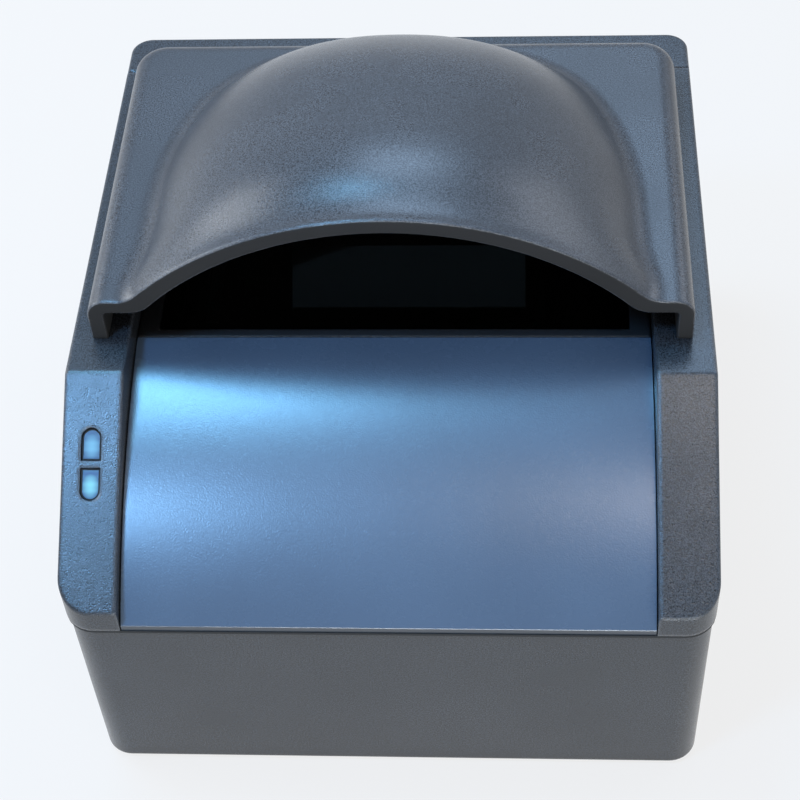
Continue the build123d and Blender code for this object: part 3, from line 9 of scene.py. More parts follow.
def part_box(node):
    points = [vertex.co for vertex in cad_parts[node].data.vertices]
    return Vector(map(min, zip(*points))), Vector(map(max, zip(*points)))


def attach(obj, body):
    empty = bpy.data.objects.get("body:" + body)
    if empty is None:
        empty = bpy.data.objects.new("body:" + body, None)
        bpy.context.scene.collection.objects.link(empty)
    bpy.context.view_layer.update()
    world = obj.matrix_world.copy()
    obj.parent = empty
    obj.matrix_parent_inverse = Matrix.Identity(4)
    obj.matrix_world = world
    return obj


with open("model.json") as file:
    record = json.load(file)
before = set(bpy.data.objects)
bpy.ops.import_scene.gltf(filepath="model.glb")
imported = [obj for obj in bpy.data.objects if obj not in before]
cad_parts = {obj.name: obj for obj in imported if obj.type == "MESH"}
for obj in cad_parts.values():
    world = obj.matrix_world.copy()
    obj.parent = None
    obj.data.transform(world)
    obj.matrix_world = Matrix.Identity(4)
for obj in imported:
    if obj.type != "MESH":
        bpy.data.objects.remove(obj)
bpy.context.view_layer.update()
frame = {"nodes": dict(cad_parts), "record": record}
nodes = frame["nodes"]
MM = 0.001
# Most of a noise texture's values lie between these
NOISE_LOW, NOISE_HIGH = 0.3, 0.7


# Colours, nodes and the start of each material
def srgb(text):
    """Hex colour as linear values."""
    channels = [int(text[i:i + 2], 16) / 255 for i in (1, 3, 5)]
    linear = [c / 12.92 if c <= 0.04045 else ((c + 0.055) / 1.055) ** 2.4 for c in channels]
    return (*linear, 1.0)


def put(tree, kind, sockets=None, **settings):
    """Adds a node; each socket takes another node's output or a plain value."""
    node = tree.nodes.new(kind)
    for name, value in settings.items():
        setattr(node, name, value)
    for name, value in (sockets or {}).items():
        if isinstance(value, bpy.types.NodeSocket):
            tree.links.new(value, node.inputs[name])
        else:
            node.inputs[name].default_value = value
    return node


def new_material(name):
    """Empty material; returns it with its tree and the coordinates of its object."""
    material = bpy.data.materials.new(name)
    material.use_nodes = True
    tree = material.node_tree
    tree.nodes.clear()
    return material, tree, put(tree, "ShaderNodeTexCoord").outputs["Object"]


def per_mm(size_mm):
    """Pattern scale for spots of a real size in millimetres."""
    return 1 / (size_mm * MM)


def bands_per_mm(pitch_mm):
    """Wave texture's scale for bands of a real pitch; it draws 20 / tau bands to a unit."""
    return per_mm(pitch_mm) * math.tau / 20


# Plastics
def moulded_plastic(name, dark, light, worn, rough, grain_mm, depth_mm, inside=None):
    """ABS or a like plastic, moulded against a spark-eroded tool: a fine even grain breaks up
    the sheen, and edges are rubbed smoother and paler. The real grain is about 0.15 mm and is
    drawn coarser to show."""
    drift_mm, edge_mm, shade_reach_mm = 34, 1.5, 9
    grain_contrast, grain_offset = 3.2, -1.1
    fade_gain, fade_least = 0.8, 0.4
    slight_turn, sharp_turn, most_rubbed = 0.99, 0.86, 0.55
    closed_in, colour_left = 0.4, 0.25
    duller, glossier, edge_polish = 0.05, 0.04, -0.3

    material, tree, place = new_material(name)
    cloud = put(tree, "ShaderNodeTexNoise", {
        "Vector": place, "Scale": per_mm(drift_mm), "Detail": 3.0})
    grain = put(tree, "ShaderNodeTexNoise", {
        "Vector": place, "Scale": per_mm(grain_mm), "Detail": 1.0})
    speckle = put(tree, "ShaderNodeMath", {
        0: grain.outputs["Fac"], 1: grain_contrast, 2: grain_offset},
        operation="MULTIPLY_ADD", use_clamp=True)
    fade = put(tree, "ShaderNodeMath", {
        0: cloud.outputs["Fac"], 1: fade_gain, 2: fade_least}, operation="MULTIPLY_ADD")
    blotch = put(tree, "ShaderNodeMath", {
        0: speckle.outputs[0], 1: fade.outputs[0]}, operation="MULTIPLY")
    colour = put(tree, "ShaderNodeMix", {
        "Factor": blotch.outputs[0], "A": srgb(dark), "B": srgb(light)}, data_type="RGBA")
    # A rounded copy of the surface normal leaves the true one only near an edge; the two
    # limits are cosines of the angle between them
    rounded = put(tree, "ShaderNodeBevel", {"Radius": edge_mm * MM}, samples=4)
    flat = put(tree, "ShaderNodeNewGeometry")
    turn = put(tree, "ShaderNodeVectorMath", {
        0: rounded.outputs[0], 1: flat.outputs["True Normal"]}, operation="DOT_PRODUCT")
    edge = put(tree, "ShaderNodeMapRange", {
        "Value": turn.outputs["Value"], "From Min": slight_turn, "From Max": sharp_turn,
        "To Max": most_rubbed})
    rubbed = put(tree, "ShaderNodeMath", {
        0: edge.outputs[0], 1: cloud.outputs["Fac"]}, operation="MULTIPLY")
    rubbed_colour = put(tree, "ShaderNodeMix", {
        "Factor": rubbed.outputs[0], "A": colour.outputs["Result"], "B": srgb(worn)},
        data_type="RGBA")
    # Painted shade: corners and narrow gaps, found by ambient occlusion, turn darker
    open_sky = put(tree, "ShaderNodeAmbientOcclusion", {"Distance": shade_reach_mm * MM}, samples=4)
    shade = put(tree, "ShaderNodeMapRange", {
        "Value": open_sky.outputs["AO"], "From Min": closed_in, "To Min": colour_left})
    painted_shade_colour = put(tree, "ShaderNodeMix", {
        "Factor": shade.outputs[0], "A": srgb(dark), "B": rubbed_colour.outputs["Result"]},
        data_type="RGBA")
    sheen = put(tree, "ShaderNodeMapRange", {
        "Value": cloud.outputs["Fac"], "From Min": NOISE_LOW, "From Max": NOISE_HIGH,
        "To Min": rough + duller, "To Max": rough - glossier})
    gloss = put(tree, "ShaderNodeMath", {
        0: edge.outputs[0], 1: edge_polish, 2: sheen.outputs[0]}, operation="MULTIPLY_ADD")
    bump = put(tree, "ShaderNodeBump", {
        "Height": grain.outputs["Fac"], "Distance": depth_mm * MM,
        "Normal": rounded.outputs[0]})
    last_colour, last_gloss = painted_shade_colour.outputs["Result"], gloss.outputs[0]
    if inside:
        # Painted shade: matt black where the surface faces the middle of the dome, and on the
        # rim of the mouth, which faces the front
        centre, black = inside
        front_facing, matt_rough = -0.96, 0.55
        facing = put(tree, "ShaderNodeTexCoord").outputs["Normal"]
        arm = put(tree, "ShaderNodeVectorMath", {0: place, 1: centre}, operation="SUBTRACT")
        outward = put(tree, "ShaderNodeVectorMath", {
            0: arm.outputs[0], 1: facing}, operation="DOT_PRODUCT")
        inward = put(tree, "ShaderNodeMath", {
            0: outward.outputs["Value"], 1: 0.0}, operation="LESS_THAN")
        axes = put(tree, "ShaderNodeSeparateXYZ", {0: facing})
        rim = put(tree, "ShaderNodeMath", {
            0: axes.outputs["Y"], 1: front_facing}, operation="LESS_THAN")
        inner = put(tree, "ShaderNodeMath", {
            0: inward.outputs[0], 1: rim.outputs[0]}, operation="MAXIMUM")
        painted_shade_black = put(tree, "ShaderNodeMix", {
            "Factor": inner.outputs[0], "A": last_colour, "B": srgb(black)}, data_type="RGBA")
        matt_inner_gloss = put(tree, "ShaderNodeMath", {
            0: inner.outputs[0], 1: matt_rough, 2: last_gloss}, operation="MULTIPLY_ADD")
        last_colour, last_gloss = painted_shade_black.outputs["Result"], matt_inner_gloss.outputs[0]
    shader = put(tree, "ShaderNodeBsdfPrincipled", {
        "Base Color": last_colour, "Roughness": last_gloss, "Normal": bump.outputs[0],
        "IOR": 1.53})
    put(tree, "ShaderNodeOutputMaterial", {"Surface": shader.outputs[0]})
    return material


def satin_acrylic(name, dark, light, sawn_edge_shade):
    """Acrylic pressed over a former, its face left satin: it catches a long soft light, with a
    haze where booklets slide and a dull sawn front edge, painted darker as shade. The satin
    grain is about 0.1 mm and is drawn coarser to show."""
    drift_mm, haze_mm, grain_mm, depth_mm = 45, 6, 0.45, 0.05
    polished, hazed = 0.265, 0.28
    front_facing, sawn_rough = -0.9, 0.3

    material, tree, place = new_material(name)
    cloud = put(tree, "ShaderNodeTexNoise", {
        "Vector": place, "Scale": per_mm(drift_mm), "Detail": 2.0})
    haze = put(tree, "ShaderNodeTexNoise", {
        "Vector": place, "Scale": per_mm(haze_mm), "Detail": 4.0, "Roughness": 0.6})
    grain = put(tree, "ShaderNodeTexNoise", {
        "Vector": place, "Scale": per_mm(grain_mm), "Detail": 1.0})
    colour = put(tree, "ShaderNodeMix", {
        "Factor": cloud.outputs["Fac"], "A": srgb(dark), "B": srgb(light)}, data_type="RGBA")
    gloss = put(tree, "ShaderNodeMapRange", {
        "Value": haze.outputs["Fac"], "From Min": NOISE_LOW, "From Max": NOISE_HIGH,
        "To Min": polished, "To Max": hazed})
    bump = put(tree, "ShaderNodeBump", {
        "Height": grain.outputs["Fac"], "Distance": depth_mm * MM})
    facing = put(tree, "ShaderNodeTexCoord").outputs["Normal"]
    axes = put(tree, "ShaderNodeSeparateXYZ", {0: facing})
    # The front-facing sawn edge is duller, and its colour is painted shade
    sawn_and_shaded = put(tree, "ShaderNodeMath", {
        0: axes.outputs["Y"], 1: front_facing}, operation="LESS_THAN")
    face_colour = put(tree, "ShaderNodeMix", {
        "Factor": sawn_and_shaded.outputs[0], "A": colour.outputs["Result"], "B": srgb(sawn_edge_shade)},
        data_type="RGBA")
    face_gloss = put(tree, "ShaderNodeMath", {
        0: sawn_and_shaded.outputs[0], 1: sawn_rough, 2: gloss.outputs[0]}, operation="MULTIPLY_ADD")
    shader = put(tree, "ShaderNodeBsdfPrincipled", {
        "Base Color": face_colour.outputs["Result"], "Roughness": face_gloss.outputs[0],
        "Normal": bump.outputs[0], "IOR": 1.49, "Coat Weight": 1.0, "Coat Roughness": 0.3})
    put(tree, "ShaderNodeOutputMaterial", {"Surface": shader.outputs[0]})
    return material


def light_guide(name, edge, highlight_core, middle, painted_glow):
    """Tinted polycarbonate light guide with faint ribs across: painted shade darkens its rim,
    and a painted highlight with a faint painted glow brightens its middle."""
    spot_size = (3.2 * MM, 4.4 * MM, 4.4 * MM)
    rib_pitch_mm, rib_strength = 1.6, 0.04

    material, tree, place = new_material(name)
    centred = put(tree, "ShaderNodeMapping", {
        "Vector": place, "Location": middle, "Scale": spot_size}, vector_type="TEXTURE")
    spot = put(tree, "ShaderNodeTexGradient", {
        "Vector": centred.outputs[0]}, gradient_type="SPHERICAL")
    ribs = put(tree, "ShaderNodeTexWave", {
        "Vector": place, "Scale": bands_per_mm(rib_pitch_mm), "Distortion": 0.6},
        bands_direction="Y")
    part = put(tree, "ShaderNodeMath", {
        0: ribs.outputs["Fac"], 1: rib_strength, 2: spot.outputs["Fac"]},
        operation="MULTIPLY_ADD")
    colour = put(tree, "ShaderNodeMix", {
        "Factor": part.outputs[0], "A": srgb(edge), "B": srgb(highlight_core)}, data_type="RGBA")
    # Painted glow: the middle gives off a little light of its own
    power = put(tree, "ShaderNodeMath", {
        0: spot.outputs["Fac"], 1: painted_glow}, operation="MULTIPLY")
    shader = put(tree, "ShaderNodeBsdfPrincipled", {
        "Base Color": colour.outputs["Result"], "Emission Color": colour.outputs["Result"],
        "Emission Strength": power.outputs[0], "Roughness": 0.34, "Specular IOR Level": 0.3,
        "IOR": 1.58})
    put(tree, "ShaderNodeOutputMaterial", {"Surface": shader.outputs[0]})
    return material


def silicon_die(name, field, sheen):
    """Etched silicon under cover glass: a polished dark face whose fine rows shift towards
    violet. The real rows are a few micrometres apart and are drawn coarser to show."""
    row_pitch_mm = 0.8

    material, tree, place = new_material(name)
    rows = put(tree, "ShaderNodeTexWave", {
        "Vector": place, "Scale": bands_per_mm(row_pitch_mm)}, bands_direction="X")
    colour = put(tree, "ShaderNodeMix", {
        "Factor": rows.outputs["Fac"], "A": srgb(field), "B": srgb(sheen)}, data_type="RGBA")
    shader = put(tree, "ShaderNodeBsdfPrincipled", {
        "Base Color": colour.outputs["Result"], "Roughness": 0.12, "IOR": 1.52,
        "Coat Weight": 1.0})
    put(tree, "ShaderNodeOutputMaterial", {"Surface": shader.outputs[0]})
    return material


def silicone_dome(name, pale, warm):
    """Phosphor-filled silicone: milky yellow, soft gloss, slightly uneven where the phosphor
    settled."""
    settled_mm = 1.2

    material, tree, place = new_material(name)
    cloud = put(tree, "ShaderNodeTexNoise", {
        "Vector": place, "Scale": per_mm(settled_mm), "Detail": 2.0})
    colour = put(tree, "ShaderNodeMix", {
        "Factor": cloud.outputs["Fac"], "A": srgb(warm), "B": srgb(pale)}, data_type="RGBA")
    shader = put(tree, "ShaderNodeBsdfPrincipled", {
        "Base Color": colour.outputs["Result"], "Roughness": 0.25, "IOR": 1.41})
    put(tree, "ShaderNodeOutputMaterial", {"Surface": shader.outputs[0]})
    return material


def soft_rubber(name, fresh, dusty):
    """Moulded rubber: matte, with a dusty bloom in its pores and no clear highlight. The pores
    are about 0.2 mm and are drawn coarser to show."""
    pore_mm, depth_mm = 0.9, 0.04
    rubbed, bloomed = 0.72, 0.95

    material, tree, place = new_material(name)
    pores = put(tree, "ShaderNodeTexNoise", {
        "Vector": place, "Scale": per_mm(pore_mm), "Detail": 4.0, "Roughness": 0.7})
    colour = put(tree, "ShaderNodeMix", {
        "Factor": pores.outputs["Fac"], "A": srgb(fresh), "B": srgb(dusty)}, data_type="RGBA")
    gloss = put(tree, "ShaderNodeMapRange", {
        "Value": pores.outputs["Fac"], "To Min": rubbed, "To Max": bloomed})
    bump = put(tree, "ShaderNodeBump", {
        "Height": pores.outputs["Fac"], "Distance": depth_mm * MM})
    shader = put(tree, "ShaderNodeBsdfPrincipled", {
        "Base Color": colour.outputs["Result"], "Roughness": gloss.outputs[0],
        "Normal": bump.outputs[0], "IOR": 1.52})
    put(tree, "ShaderNodeOutputMaterial", {"Surface": shader.outputs[0]})
    return material


# Glass and metal
def tinted_glass(name, tint):
    """Polished glass, tinted in the mass or by its coating: what lies behind shows in its tint,
    under the faint film that hands and air leave on it."""
    film_mm, filmed = 28, 0.06

    material, tree, place = new_material(name)
    film = put(tree, "ShaderNodeTexNoise", {
        "Vector": place, "Scale": per_mm(film_mm), "Detail": 3.0})
    gloss = put(tree, "ShaderNodeMapRange", {
        "Value": film.outputs["Fac"], "From Min": 0.4, "From Max": 0.8,
        "To Min": 0.0, "To Max": filmed})
    shader = put(tree, "ShaderNodeBsdfPrincipled", {
        "Base Color": srgb(tint), "Transmission Weight": 1.0, "Roughness": gloss.outputs[0],
        "IOR": 1.52})
    put(tree, "ShaderNodeOutputMaterial", {"Surface": shader.outputs[0]})
    return material


def silvered_mirror(name, dusty, clean):
    """Front-silvered mirror: bright metal with a trace of dust."""
    film_mm = 18

    material, tree, place = new_material(name)
    film = put(tree, "ShaderNodeTexNoise", {
        "Vector": place, "Scale": per_mm(film_mm), "Detail": 3.0})
    colour = put(tree, "ShaderNodeMix", {
        "Factor": film.outputs["Fac"], "A": srgb(dusty), "B": srgb(clean)}, data_type="RGBA")
    gloss = put(tree, "ShaderNodeMapRange", {
        "Value": film.outputs["Fac"], "To Min": 0.01, "To Max": 0.05})
    shader = put(tree, "ShaderNodeBsdfPrincipled", {
        "Base Color": colour.outputs["Result"], "Metallic": 1.0,
        "Roughness": gloss.outputs[0]})
    put(tree, "ShaderNodeOutputMaterial", {"Surface": shader.outputs[0]})
    return material


def worked_metal(name, dark, light, rough, line_mm):
    """Rolled, turned or extruded metal: fine lines along its length stretch each highlight. The
    real lines are about 0.1 mm apart and are drawn coarser to show."""
    stretch = (0.08, 1.0, 1.0)
    rough_spread, depth_mm = 0.08, 0.01

    material, tree, place = new_material(name)
    along = put(tree, "ShaderNodeMapping", {"Vector": place, "Scale": stretch})
    lines = put(tree, "ShaderNodeTexNoise", {
        "Vector": along.outputs[0], "Scale": per_mm(line_mm), "Detail": 3.0,
        "Roughness": 0.6})
    colour = put(tree, "ShaderNodeMix", {
        "Factor": lines.outputs["Fac"], "A": srgb(dark), "B": srgb(light)}, data_type="RGBA")
    gloss = put(tree, "ShaderNodeMapRange", {
        "Value": lines.outputs["Fac"], "To Min": rough - rough_spread,
        "To Max": rough + rough_spread})
    bump = put(tree, "ShaderNodeBump", {
        "Height": lines.outputs["Fac"], "Distance": depth_mm * MM})
    shader = put(tree, "ShaderNodeBsdfPrincipled", {
        "Base Color": colour.outputs["Result"], "Metallic": 1.0,
        "Roughness": gloss.outputs[0], "Normal": bump.outputs[0]})
    put(tree, "ShaderNodeOutputMaterial", {"Surface": shader.outputs[0]})
    return material


# Electronics
def solder_mask(name, field, track, cell_mm):
    """Glass-epoxy board under sprayed solder mask: the copper shows as paler raised lines in the
    lacquer. Rows of tracks lie a quarter of a cell apart and are 0.06 of a cell wide, which is
    0.3 mm on the green boards."""
    half_track, lacquer_mm, depth_mm = 0.03, 4, 0.04
    black, white = (0, 0, 0, 1), (1, 1, 1, 1)

    material, tree, place = new_material(name)
    tracks = put(tree, "ShaderNodeTexBrick", {
        "Vector": place, "Scale": per_mm(cell_mm), "Mortar Size": half_track,
        "Color1": black, "Color2": black, "Mortar": white}, offset=0.35, squash=0.7)
    cloud = put(tree, "ShaderNodeTexNoise", {
        "Vector": place, "Scale": per_mm(lacquer_mm), "Detail": 2.0})
    colour = put(tree, "ShaderNodeMix", {
        "Factor": tracks.outputs["Color"], "A": srgb(field), "B": srgb(track)},
        data_type="RGBA")
    gloss = put(tree, "ShaderNodeMapRange", {
        "Value": cloud.outputs["Fac"], "To Min": 0.22, "To Max": 0.42})
    bump = put(tree, "ShaderNodeBump", {
        "Height": tracks.outputs["Color"], "Distance": depth_mm * MM})
    shader = put(tree, "ShaderNodeBsdfPrincipled", {
        "Base Color": colour.outputs["Result"], "Roughness": gloss.outputs[0],
        "Normal": bump.outputs[0], "IOR": 1.5, "Coat Weight": 0.4, "Coat Roughness": 0.1})
    put(tree, "ShaderNodeOutputMaterial", {"Surface": shader.outputs[0]})
    return material


def ribbon_film(name, film, copper, pitch_mm):
    """Laminated polyimide cable: parallel copper lines, at their own pitch, seen through the
    amber film."""
    depth_mm = 0.03

    material, tree, place = new_material(name)
    lines = put(tree, "ShaderNodeTexWave", {
        "Vector": place, "Scale": bands_per_mm(pitch_mm)}, bands_direction="X")
    colour = put(tree, "ShaderNodeMix", {
        "Factor": lines.outputs["Fac"], "A": srgb(film), "B": srgb(copper)}, data_type="RGBA")
    bump = put(tree, "ShaderNodeBump", {
        "Height": lines.outputs["Fac"], "Distance": depth_mm * MM})
    shader = put(tree, "ShaderNodeBsdfPrincipled", {
        "Base Color": colour.outputs["Result"], "Roughness": 0.3, "Normal": bump.outputs[0],
        "IOR": 1.6})
    put(tree, "ShaderNodeOutputMaterial", {"Surface": shader.outputs[0]})
    return material


# The reader's own finishes
upper_box, lower_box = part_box("lens_upper"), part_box("lens_lower")
upper_middle = tuple((low + high) / 2 for low, high in zip(*upper_box))
lower_middle = tuple((low + high) / 2 for low, high in zip(*lower_box))
dome_middle = (0.0, 0.01, 0.118)

case_abs = moulded_plastic(
    "textured_abs_case", dark="#1b1d20", light="#404348", worn="#7d8188",
    rough=0.24, grain_mm=0.4, depth_mm=0.05)
hood_abs = moulded_plastic(
    "satin_abs_hood", dark="#242427", light="#525255", worn="#7d8188",
    rough=0.27, grain_mm=0.4, depth_mm=0.05, inside=(dome_middle, "#09090b"))
inner_abs = moulded_plastic(
    "black_abs_inside", dark="#0e0f12", light="#17181c", worn="#26272b",
    rough=0.6, grain_mm=0.6, depth_mm=0.05)
connector_nylon = moulded_plastic(
    "cream_nylon_connector", dark="#ddd6bf", light="#e8e2cf", worn="#f2eedf",
    rough=0.45, grain_mm=0.5, depth_mm=0.02)
epoxy_black = moulded_plastic(
    "black_epoxy_chip", dark="#17181a", light="#202124", worn="#303236",
    rough=0.5, grain_mm=0.3, depth_mm=0.02)
milky_diffuser = moulded_plastic(
    "opal_acrylic_diffuser", dark="#e9edf0", light="#f6f8f9", worn="#ffffff",
    rough=0.3, grain_mm=0.6, depth_mm=0.01)
plate_acrylic = satin_acrylic(
    "satin_acrylic_rest_plate", dark="#3a4758", light="#49596c", sawn_edge_shade="#1b2530")
lens_cyan = light_guide(
    "polycarbonate_lens_upper", edge="#2f405a", highlight_core="#8cc4cc", middle=upper_middle, painted_glow=0.12)
lens_blue = light_guide(
    "polycarbonate_lens_lower", edge="#2f4464", highlight_core="#a4eedc", middle=lower_middle, painted_glow=0.2)
sensor_face = silicon_die("silicon_image_sensor", field="#1b1830", sheen="#3a3358")
led_resin = silicone_dome("silicone_led_dome", pale="#f6efc4", warm="#e8d98a")
foot_rubber = soft_rubber("moulded_rubber_foot", fresh="#17181a", dusty="#2a2b2d")
gasket_rubber = soft_rubber("foam_rubber_gasket", fresh="#101112", dusty="#1d1e20")
window_glass = tinted_glass("grey_float_glass_window", tint="#5a6266")
lens_glass = tinted_glass("coated_glass_lens", tint="#cfd9f0")
mirror_silver = silvered_mirror("silvered_mirror", dusty="#e4e8ea", clean="#f2f4f5")
steel = worked_metal(
    "nickel_plated_steel", dark="#9da1a6", light="#c3c7cb", rough=0.32, line_mm=0.5)
screw_steel = worked_metal(
    "zinc_plated_screw", dark="#8d9196", light="#b4b8bc", rough=0.38, line_mm=0.4)
aluminium = worked_metal(
    "extruded_aluminium", dark="#b4b7bb", light="#d2d5d8", rough=0.38, line_mm=0.6)
brass_pin = worked_metal(
    "gilt_brass_pin", dark="#b08d45", light="#d6b469", rough=0.25, line_mm=0.3)
barrel_black = worked_metal(
    "anodised_black_barrel", dark="#1b1c1f", light="#2c2d31", rough=0.42, line_mm=0.3)
green_board = solder_mask("green_solder_mask", field="#0f4a2c", track="#1c6b43", cell_mm=5.0)
white_board = solder_mask("white_solder_mask", field="#dfe2e0", track="#c9cfcc", cell_mm=6.0)
ribbon = ribbon_film("polyimide_flat_cable", film="#c98d3c", copper="#e0b463", pitch_mm=1.0)

finish = {
    "case": case_abs, "hood": hood_abs, "plate": plate_acrylic, "frame": inner_abs,
    "gasket": gasket_rubber, "window": window_glass, "lens_upper": lens_cyan,
    "lens_lower": lens_blue, "board": green_board, "lamp_board": white_board,
    "led": led_resin, "foot": foot_rubber, "inner_plastic": inner_abs,
    "mirror": mirror_silver, "diffuser": milky_diffuser, "sheet": steel,
    "chip": epoxy_black, "heat_sink": aluminium, "capacitor": aluminium,
    "connector": connector_nylon, "pin": brass_pin, "sensor": sensor_face,
    "barrel": barrel_black, "lens_glass": lens_glass, "cable": ribbon,
    "screw": screw_steel,
}
for part in frame["record"]["subparts"]:
    mesh = nodes[part["node"]].data
    mesh.materials.clear()
    mesh.materials.append(finish[part["material_slot"]])


# Small fittings
def keep(name, shape, material, body="reader"):
    """Makes a piece of a finished bmesh and puts it on its body."""
    bmesh.ops.recalc_face_normals(shape, faces=shape.faces)
    mesh = bpy.data.meshes.new(name)
    shape.to_mesh(mesh)
    shape.free()
    mesh.materials.append(material)
    piece = bpy.data.objects.new(name, mesh)
    bpy.context.collection.objects.link(piece)
    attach(piece, body)


def raise_strip(shape, step):
    """Gives the flat faces of a bmesh a thickness: closed below, and lifted by step above."""
    lifted = bmesh.ops.extrude_face_region(shape, geom=shape.faces[:], use_keep_orig=True)
    corners = [item for item in lifted["geom"] if isinstance(item, bmesh.types.BMVert)]
    bmesh.ops.translate(shape, verts=corners, vec=step)


rail_rise, rail_run = 35, 56
rail_slope = math.atan2(rail_rise, rail_run)
rail_normal = Vector((0, -math.sin(rail_slope), math.cos(rail_slope)))


def rail_height(face):
    """How far out a face lies along the rails' own normal."""
    return face.calc_center_median().dot(rail_normal)


def recess_shade_ring(name, lens):
    """Black ring in the recess round an indicator lens, a dark piece that paints the recess's
    shade, drawn from the lens's own outline."""
    rim_width, rim_height = 0.45 * MM, 0.12 * MM
    weld, same_level, same_way = 0.001 * MM, 0.01 * MM, 0.999

    shape = bmesh.new()
    shape.from_mesh(nodes[lens].data)
    bmesh.ops.remove_doubles(shape, verts=shape.verts, dist=weld)
    shape.normal_update()
    top = max(rail_height(face) for face in shape.faces)
    others = [
        face for face in shape.faces
        if face.normal.dot(rail_normal) < same_way or abs(rail_height(face) - top) > same_level]
    bmesh.ops.delete(shape, geom=others, context="FACES")
    bmesh.ops.dissolve_faces(shape, faces=shape.faces[:])
    middle = list(shape.faces)
    bmesh.ops.inset_region(
        shape, faces=middle, thickness=rim_width, use_boundary=True, use_even_offset=True)
    bmesh.ops.delete(shape, geom=middle, context="FACES")
    raise_strip(shape, rail_normal * rim_height)
    keep(name, shape, gasket_rubber)


def joint_shade_piece(name):
    """Black strip in the joint between the two halves, round the front and both sides: a dark
    piece that paints the joint's shade.
    """
    half_width, front, rear, bottom = 88.95 * MM, -99.95 * MM, 82.0 * MM, 69.65 * MM
    width, height, corner, corner_steps = 0.9 * MM, 0.9 * MM, 8.95 * MM, 7

    shape = bmesh.new()
    bmesh.ops.create_grid(shape, x_segments=1, y_segments=1, size=1.0)
    bmesh.ops.scale(shape, vec=(half_width, (rear - front) / 2, 1.0), verts=shape.verts)
    bmesh.ops.translate(shape, vec=(0, (rear + front) / 2, bottom), verts=shape.verts)
    front_corners = [vert for vert in shape.verts if vert.co.y < 0]
    bmesh.ops.bevel(
        shape, geom=front_corners, offset=corner, offset_type="OFFSET",
        segments=corner_steps, profile=0.5, affect="VERTICES", material=-1)
    middle = list(shape.faces)
    bmesh.ops.inset_region(
        shape, faces=middle, thickness=width, use_boundary=True, use_even_offset=True)
    rear_strip = [
        face for face in shape.faces
        if face not in middle and face.calc_center_median().y > rear - width]
    bmesh.ops.delete(shape, geom=middle + rear_strip, context="FACES")
    raise_strip(shape, (0, 0, height))
    keep(name, shape, gasket_rubber)


# Dark rings that paint the shade in the indicator recesses
recess_shade_ring("indicator_shade_ring_upper", "lens_upper")
recess_shade_ring("indicator_shade_ring_lower", "lens_lower")
# A dark strip that paints the shade of the joint
joint_shade_piece("joint_shade_strip")

# Floor: pale, with the white of the picture and the object's shadow kept
floor_reach, tone_mm, white_share = 20.0, 200, 0.8
floor_mesh = bpy.data.meshes.new("floor")
shape = bmesh.new()
bmesh.ops.create_grid(shape, x_segments=1, y_segments=1, size=floor_reach)
shape.to_mesh(floor_mesh)
shape.free()
floor = bpy.data.objects.new("floor", floor_mesh)
bpy.context.collection.objects.link(floor)
paper, tree, place = new_material("white_paper_floor")
tone = put(tree, "ShaderNodeTexNoise", {
    "Vector": place, "Scale": per_mm(tone_mm), "Detail": 2.0})
pale = put(tree, "ShaderNodeMix", {
    "Factor": tone.outputs["Fac"], "A": srgb("#9a9b9d"), "B": srgb("#a2a3a4")},
    data_type="RGBA")
matt = put(tree, "ShaderNodeBsdfPrincipled", {
    "Base Color": pale.outputs["Result"], "Roughness": 0.9})
white = put(tree, "ShaderNodeEmission", {"Color": (1, 1, 1, 1), "Strength": 1.0})
path = put(tree, "ShaderNodeLightPath")
glossy = put(tree, "ShaderNodeMath", {
    0: path.outputs["Is Camera Ray"], 1: path.outputs["Is Glossy Ray"]}, operation="MAXIMUM")
clear = put(tree, "ShaderNodeMath", {
    0: glossy.outputs[0], 1: path.outputs["Is Transmission Ray"]}, operation="MAXIMUM")
seen = put(tree, "ShaderNodeMath", {0: clear.outputs[0], 1: white_share}, operation="MULTIPLY")
blend = put(tree, "ShaderNodeMixShader", {
    0: seen.outputs[0], 1: matt.outputs[0], 2: white.outputs[0]})
put(tree, "ShaderNodeOutputMaterial", {"Surface": blend.outputs[0]})
floor_mesh.materials.append(paper)

# A room that is bright overhead and behind, and dim behind whoever looks at the front
brightest_way = (0.0, 0.6, 0.5)
room_dim, room_bright = 0.08, 0.74
world = bpy.data.worlds.new("studio")
bpy.context.scene.world = world
world.use_nodes = True
tree = world.node_tree
tree.nodes.clear()
aim = put(tree, "ShaderNodeTexCoord").outputs["Generated"]
weigh = put(tree, "ShaderNodeVectorMath", {
    0: aim, 1: brightest_way}, operation="DOT_PRODUCT")
share = put(tree, "ShaderNodeMapRange", {
    "Value": weigh.outputs["Value"], "From Min": -0.5, "From Max": 0.6,
    "To Min": room_dim, "To Max": room_bright})
room = put(tree, "ShaderNodeBackground", {
    "Color": srgb("#e2e7ee"), "Strength": share.outputs["Result"]})
put(tree, "ShaderNodeOutputWorld", {"Surface": room.outputs[0]})


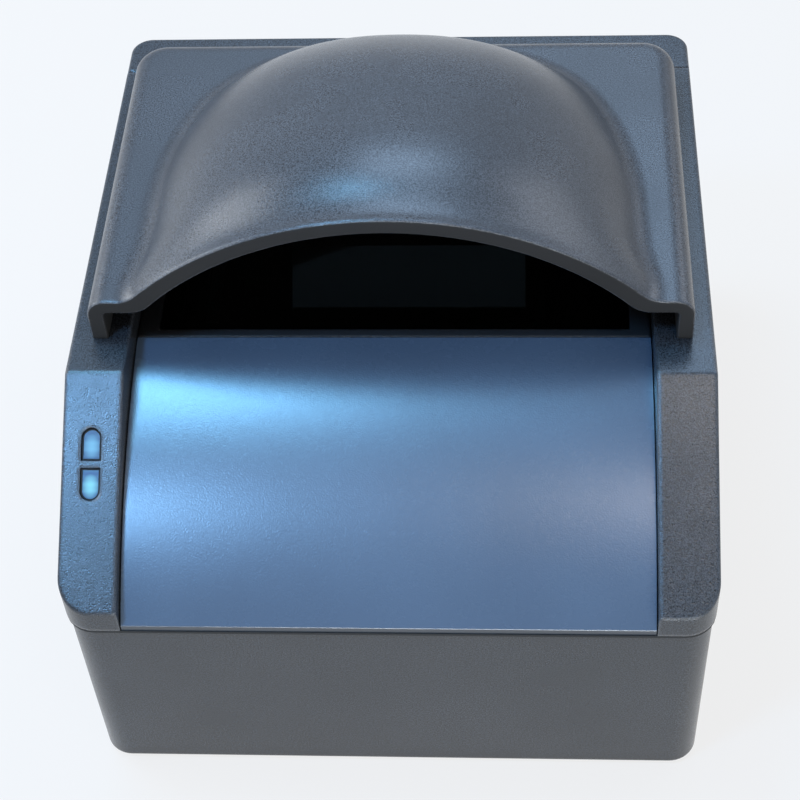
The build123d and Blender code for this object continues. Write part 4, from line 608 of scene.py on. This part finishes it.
# Soft lamps: a cool sky overhead, whose bands show in the rest plate, paler windows at both
# sides, and a low room light for the front
def lamp(name, spot, target, size, watts, colour):
    """Soft rectangular lamp at spot, facing target."""
    data = bpy.data.lights.new(name, "AREA")
    data.shape = "RECTANGLE"
    data.size, data.size_y = size
    data.energy = watts
    data.color = srgb(colour)[:3]
    holder = bpy.data.objects.new(name, data)
    holder.location = spot
    holder.visible_camera = False
    holder.rotation_euler = (Vector(target) - Vector(spot)).to_track_quat("-Z", "Y").to_euler()
    bpy.context.collection.objects.link(holder)


lamp("skylight_strip", spot=(-0.27, 0.15, 1.1), target=(-0.06, 0.0, 0.1),
     size=(0.3, 0.26), watts=8.5, colour="#7ccaff")
lamp("skylight_front", spot=(-0.44, -0.43, 1.1), target=(-0.08, -0.06, 0.1),
     size=(0.16, 0.22), watts=9, colour="#86c4ff")
lamp("skylight_rear", spot=(0.03, 0.70, 1.1), target=(0.0, 0.0, 0.15),
     size=(0.5, 0.6), watts=4.5, colour="#b4d6fa")
lamp("skylight_right", spot=(0.26, -0.40, 1.1), target=(0.08, -0.06, 0.1),
     size=(0.16, 0.26), watts=1.3, colour="#fff4ea")
lamp("left_window", spot=(-1.0, 0.3, 0.6), target=(0, 0, 0.1),
     size=(0.8, 0.7), watts=11, colour="#f2f4f6")
lamp("right_window", spot=(0.9, 0.6, 0.8), target=(0, 0, 0.1),
     size=(0.6, 0.6), watts=3, colour="#e6eaf4")
lamp("room_light", spot=(0.2, -1.2, 0.16), target=(0, 0, 0.05),
     size=(0.9, 0.24), watts=12, colour="#f4f8f8")

# Camera solved from the straight edges of the housing
camera_spot = (0.0332, -0.3746, 0.4910)
film_width_mm, lens_mm = 36, 83.29
pitch, yaw, roll = (math.radians(angle) for angle in (49.52, -5.26, -3.90))
ahead = Vector((
    math.sin(yaw) * math.cos(pitch), math.cos(yaw) * math.cos(pitch), -math.sin(pitch)))
level = Vector((math.cos(yaw), -math.sin(yaw), 0))
upward = level.cross(ahead)
right = math.cos(roll) * level + math.sin(roll) * upward
over = -math.sin(roll) * level + math.cos(roll) * upward
turn = Matrix((right, over, -ahead)).transposed()
camera_data = bpy.data.cameras.new("camera")
camera_data.sensor_width = film_width_mm
camera_data.lens = lens_mm
camera = bpy.data.objects.new("camera", camera_data)
camera.matrix_world = Matrix.Translation(camera_spot) @ turn.to_4x4()
bpy.context.collection.objects.link(camera)
bpy.context.scene.camera = camera
bpy.context.scene.view_settings.view_transform = "Standard"
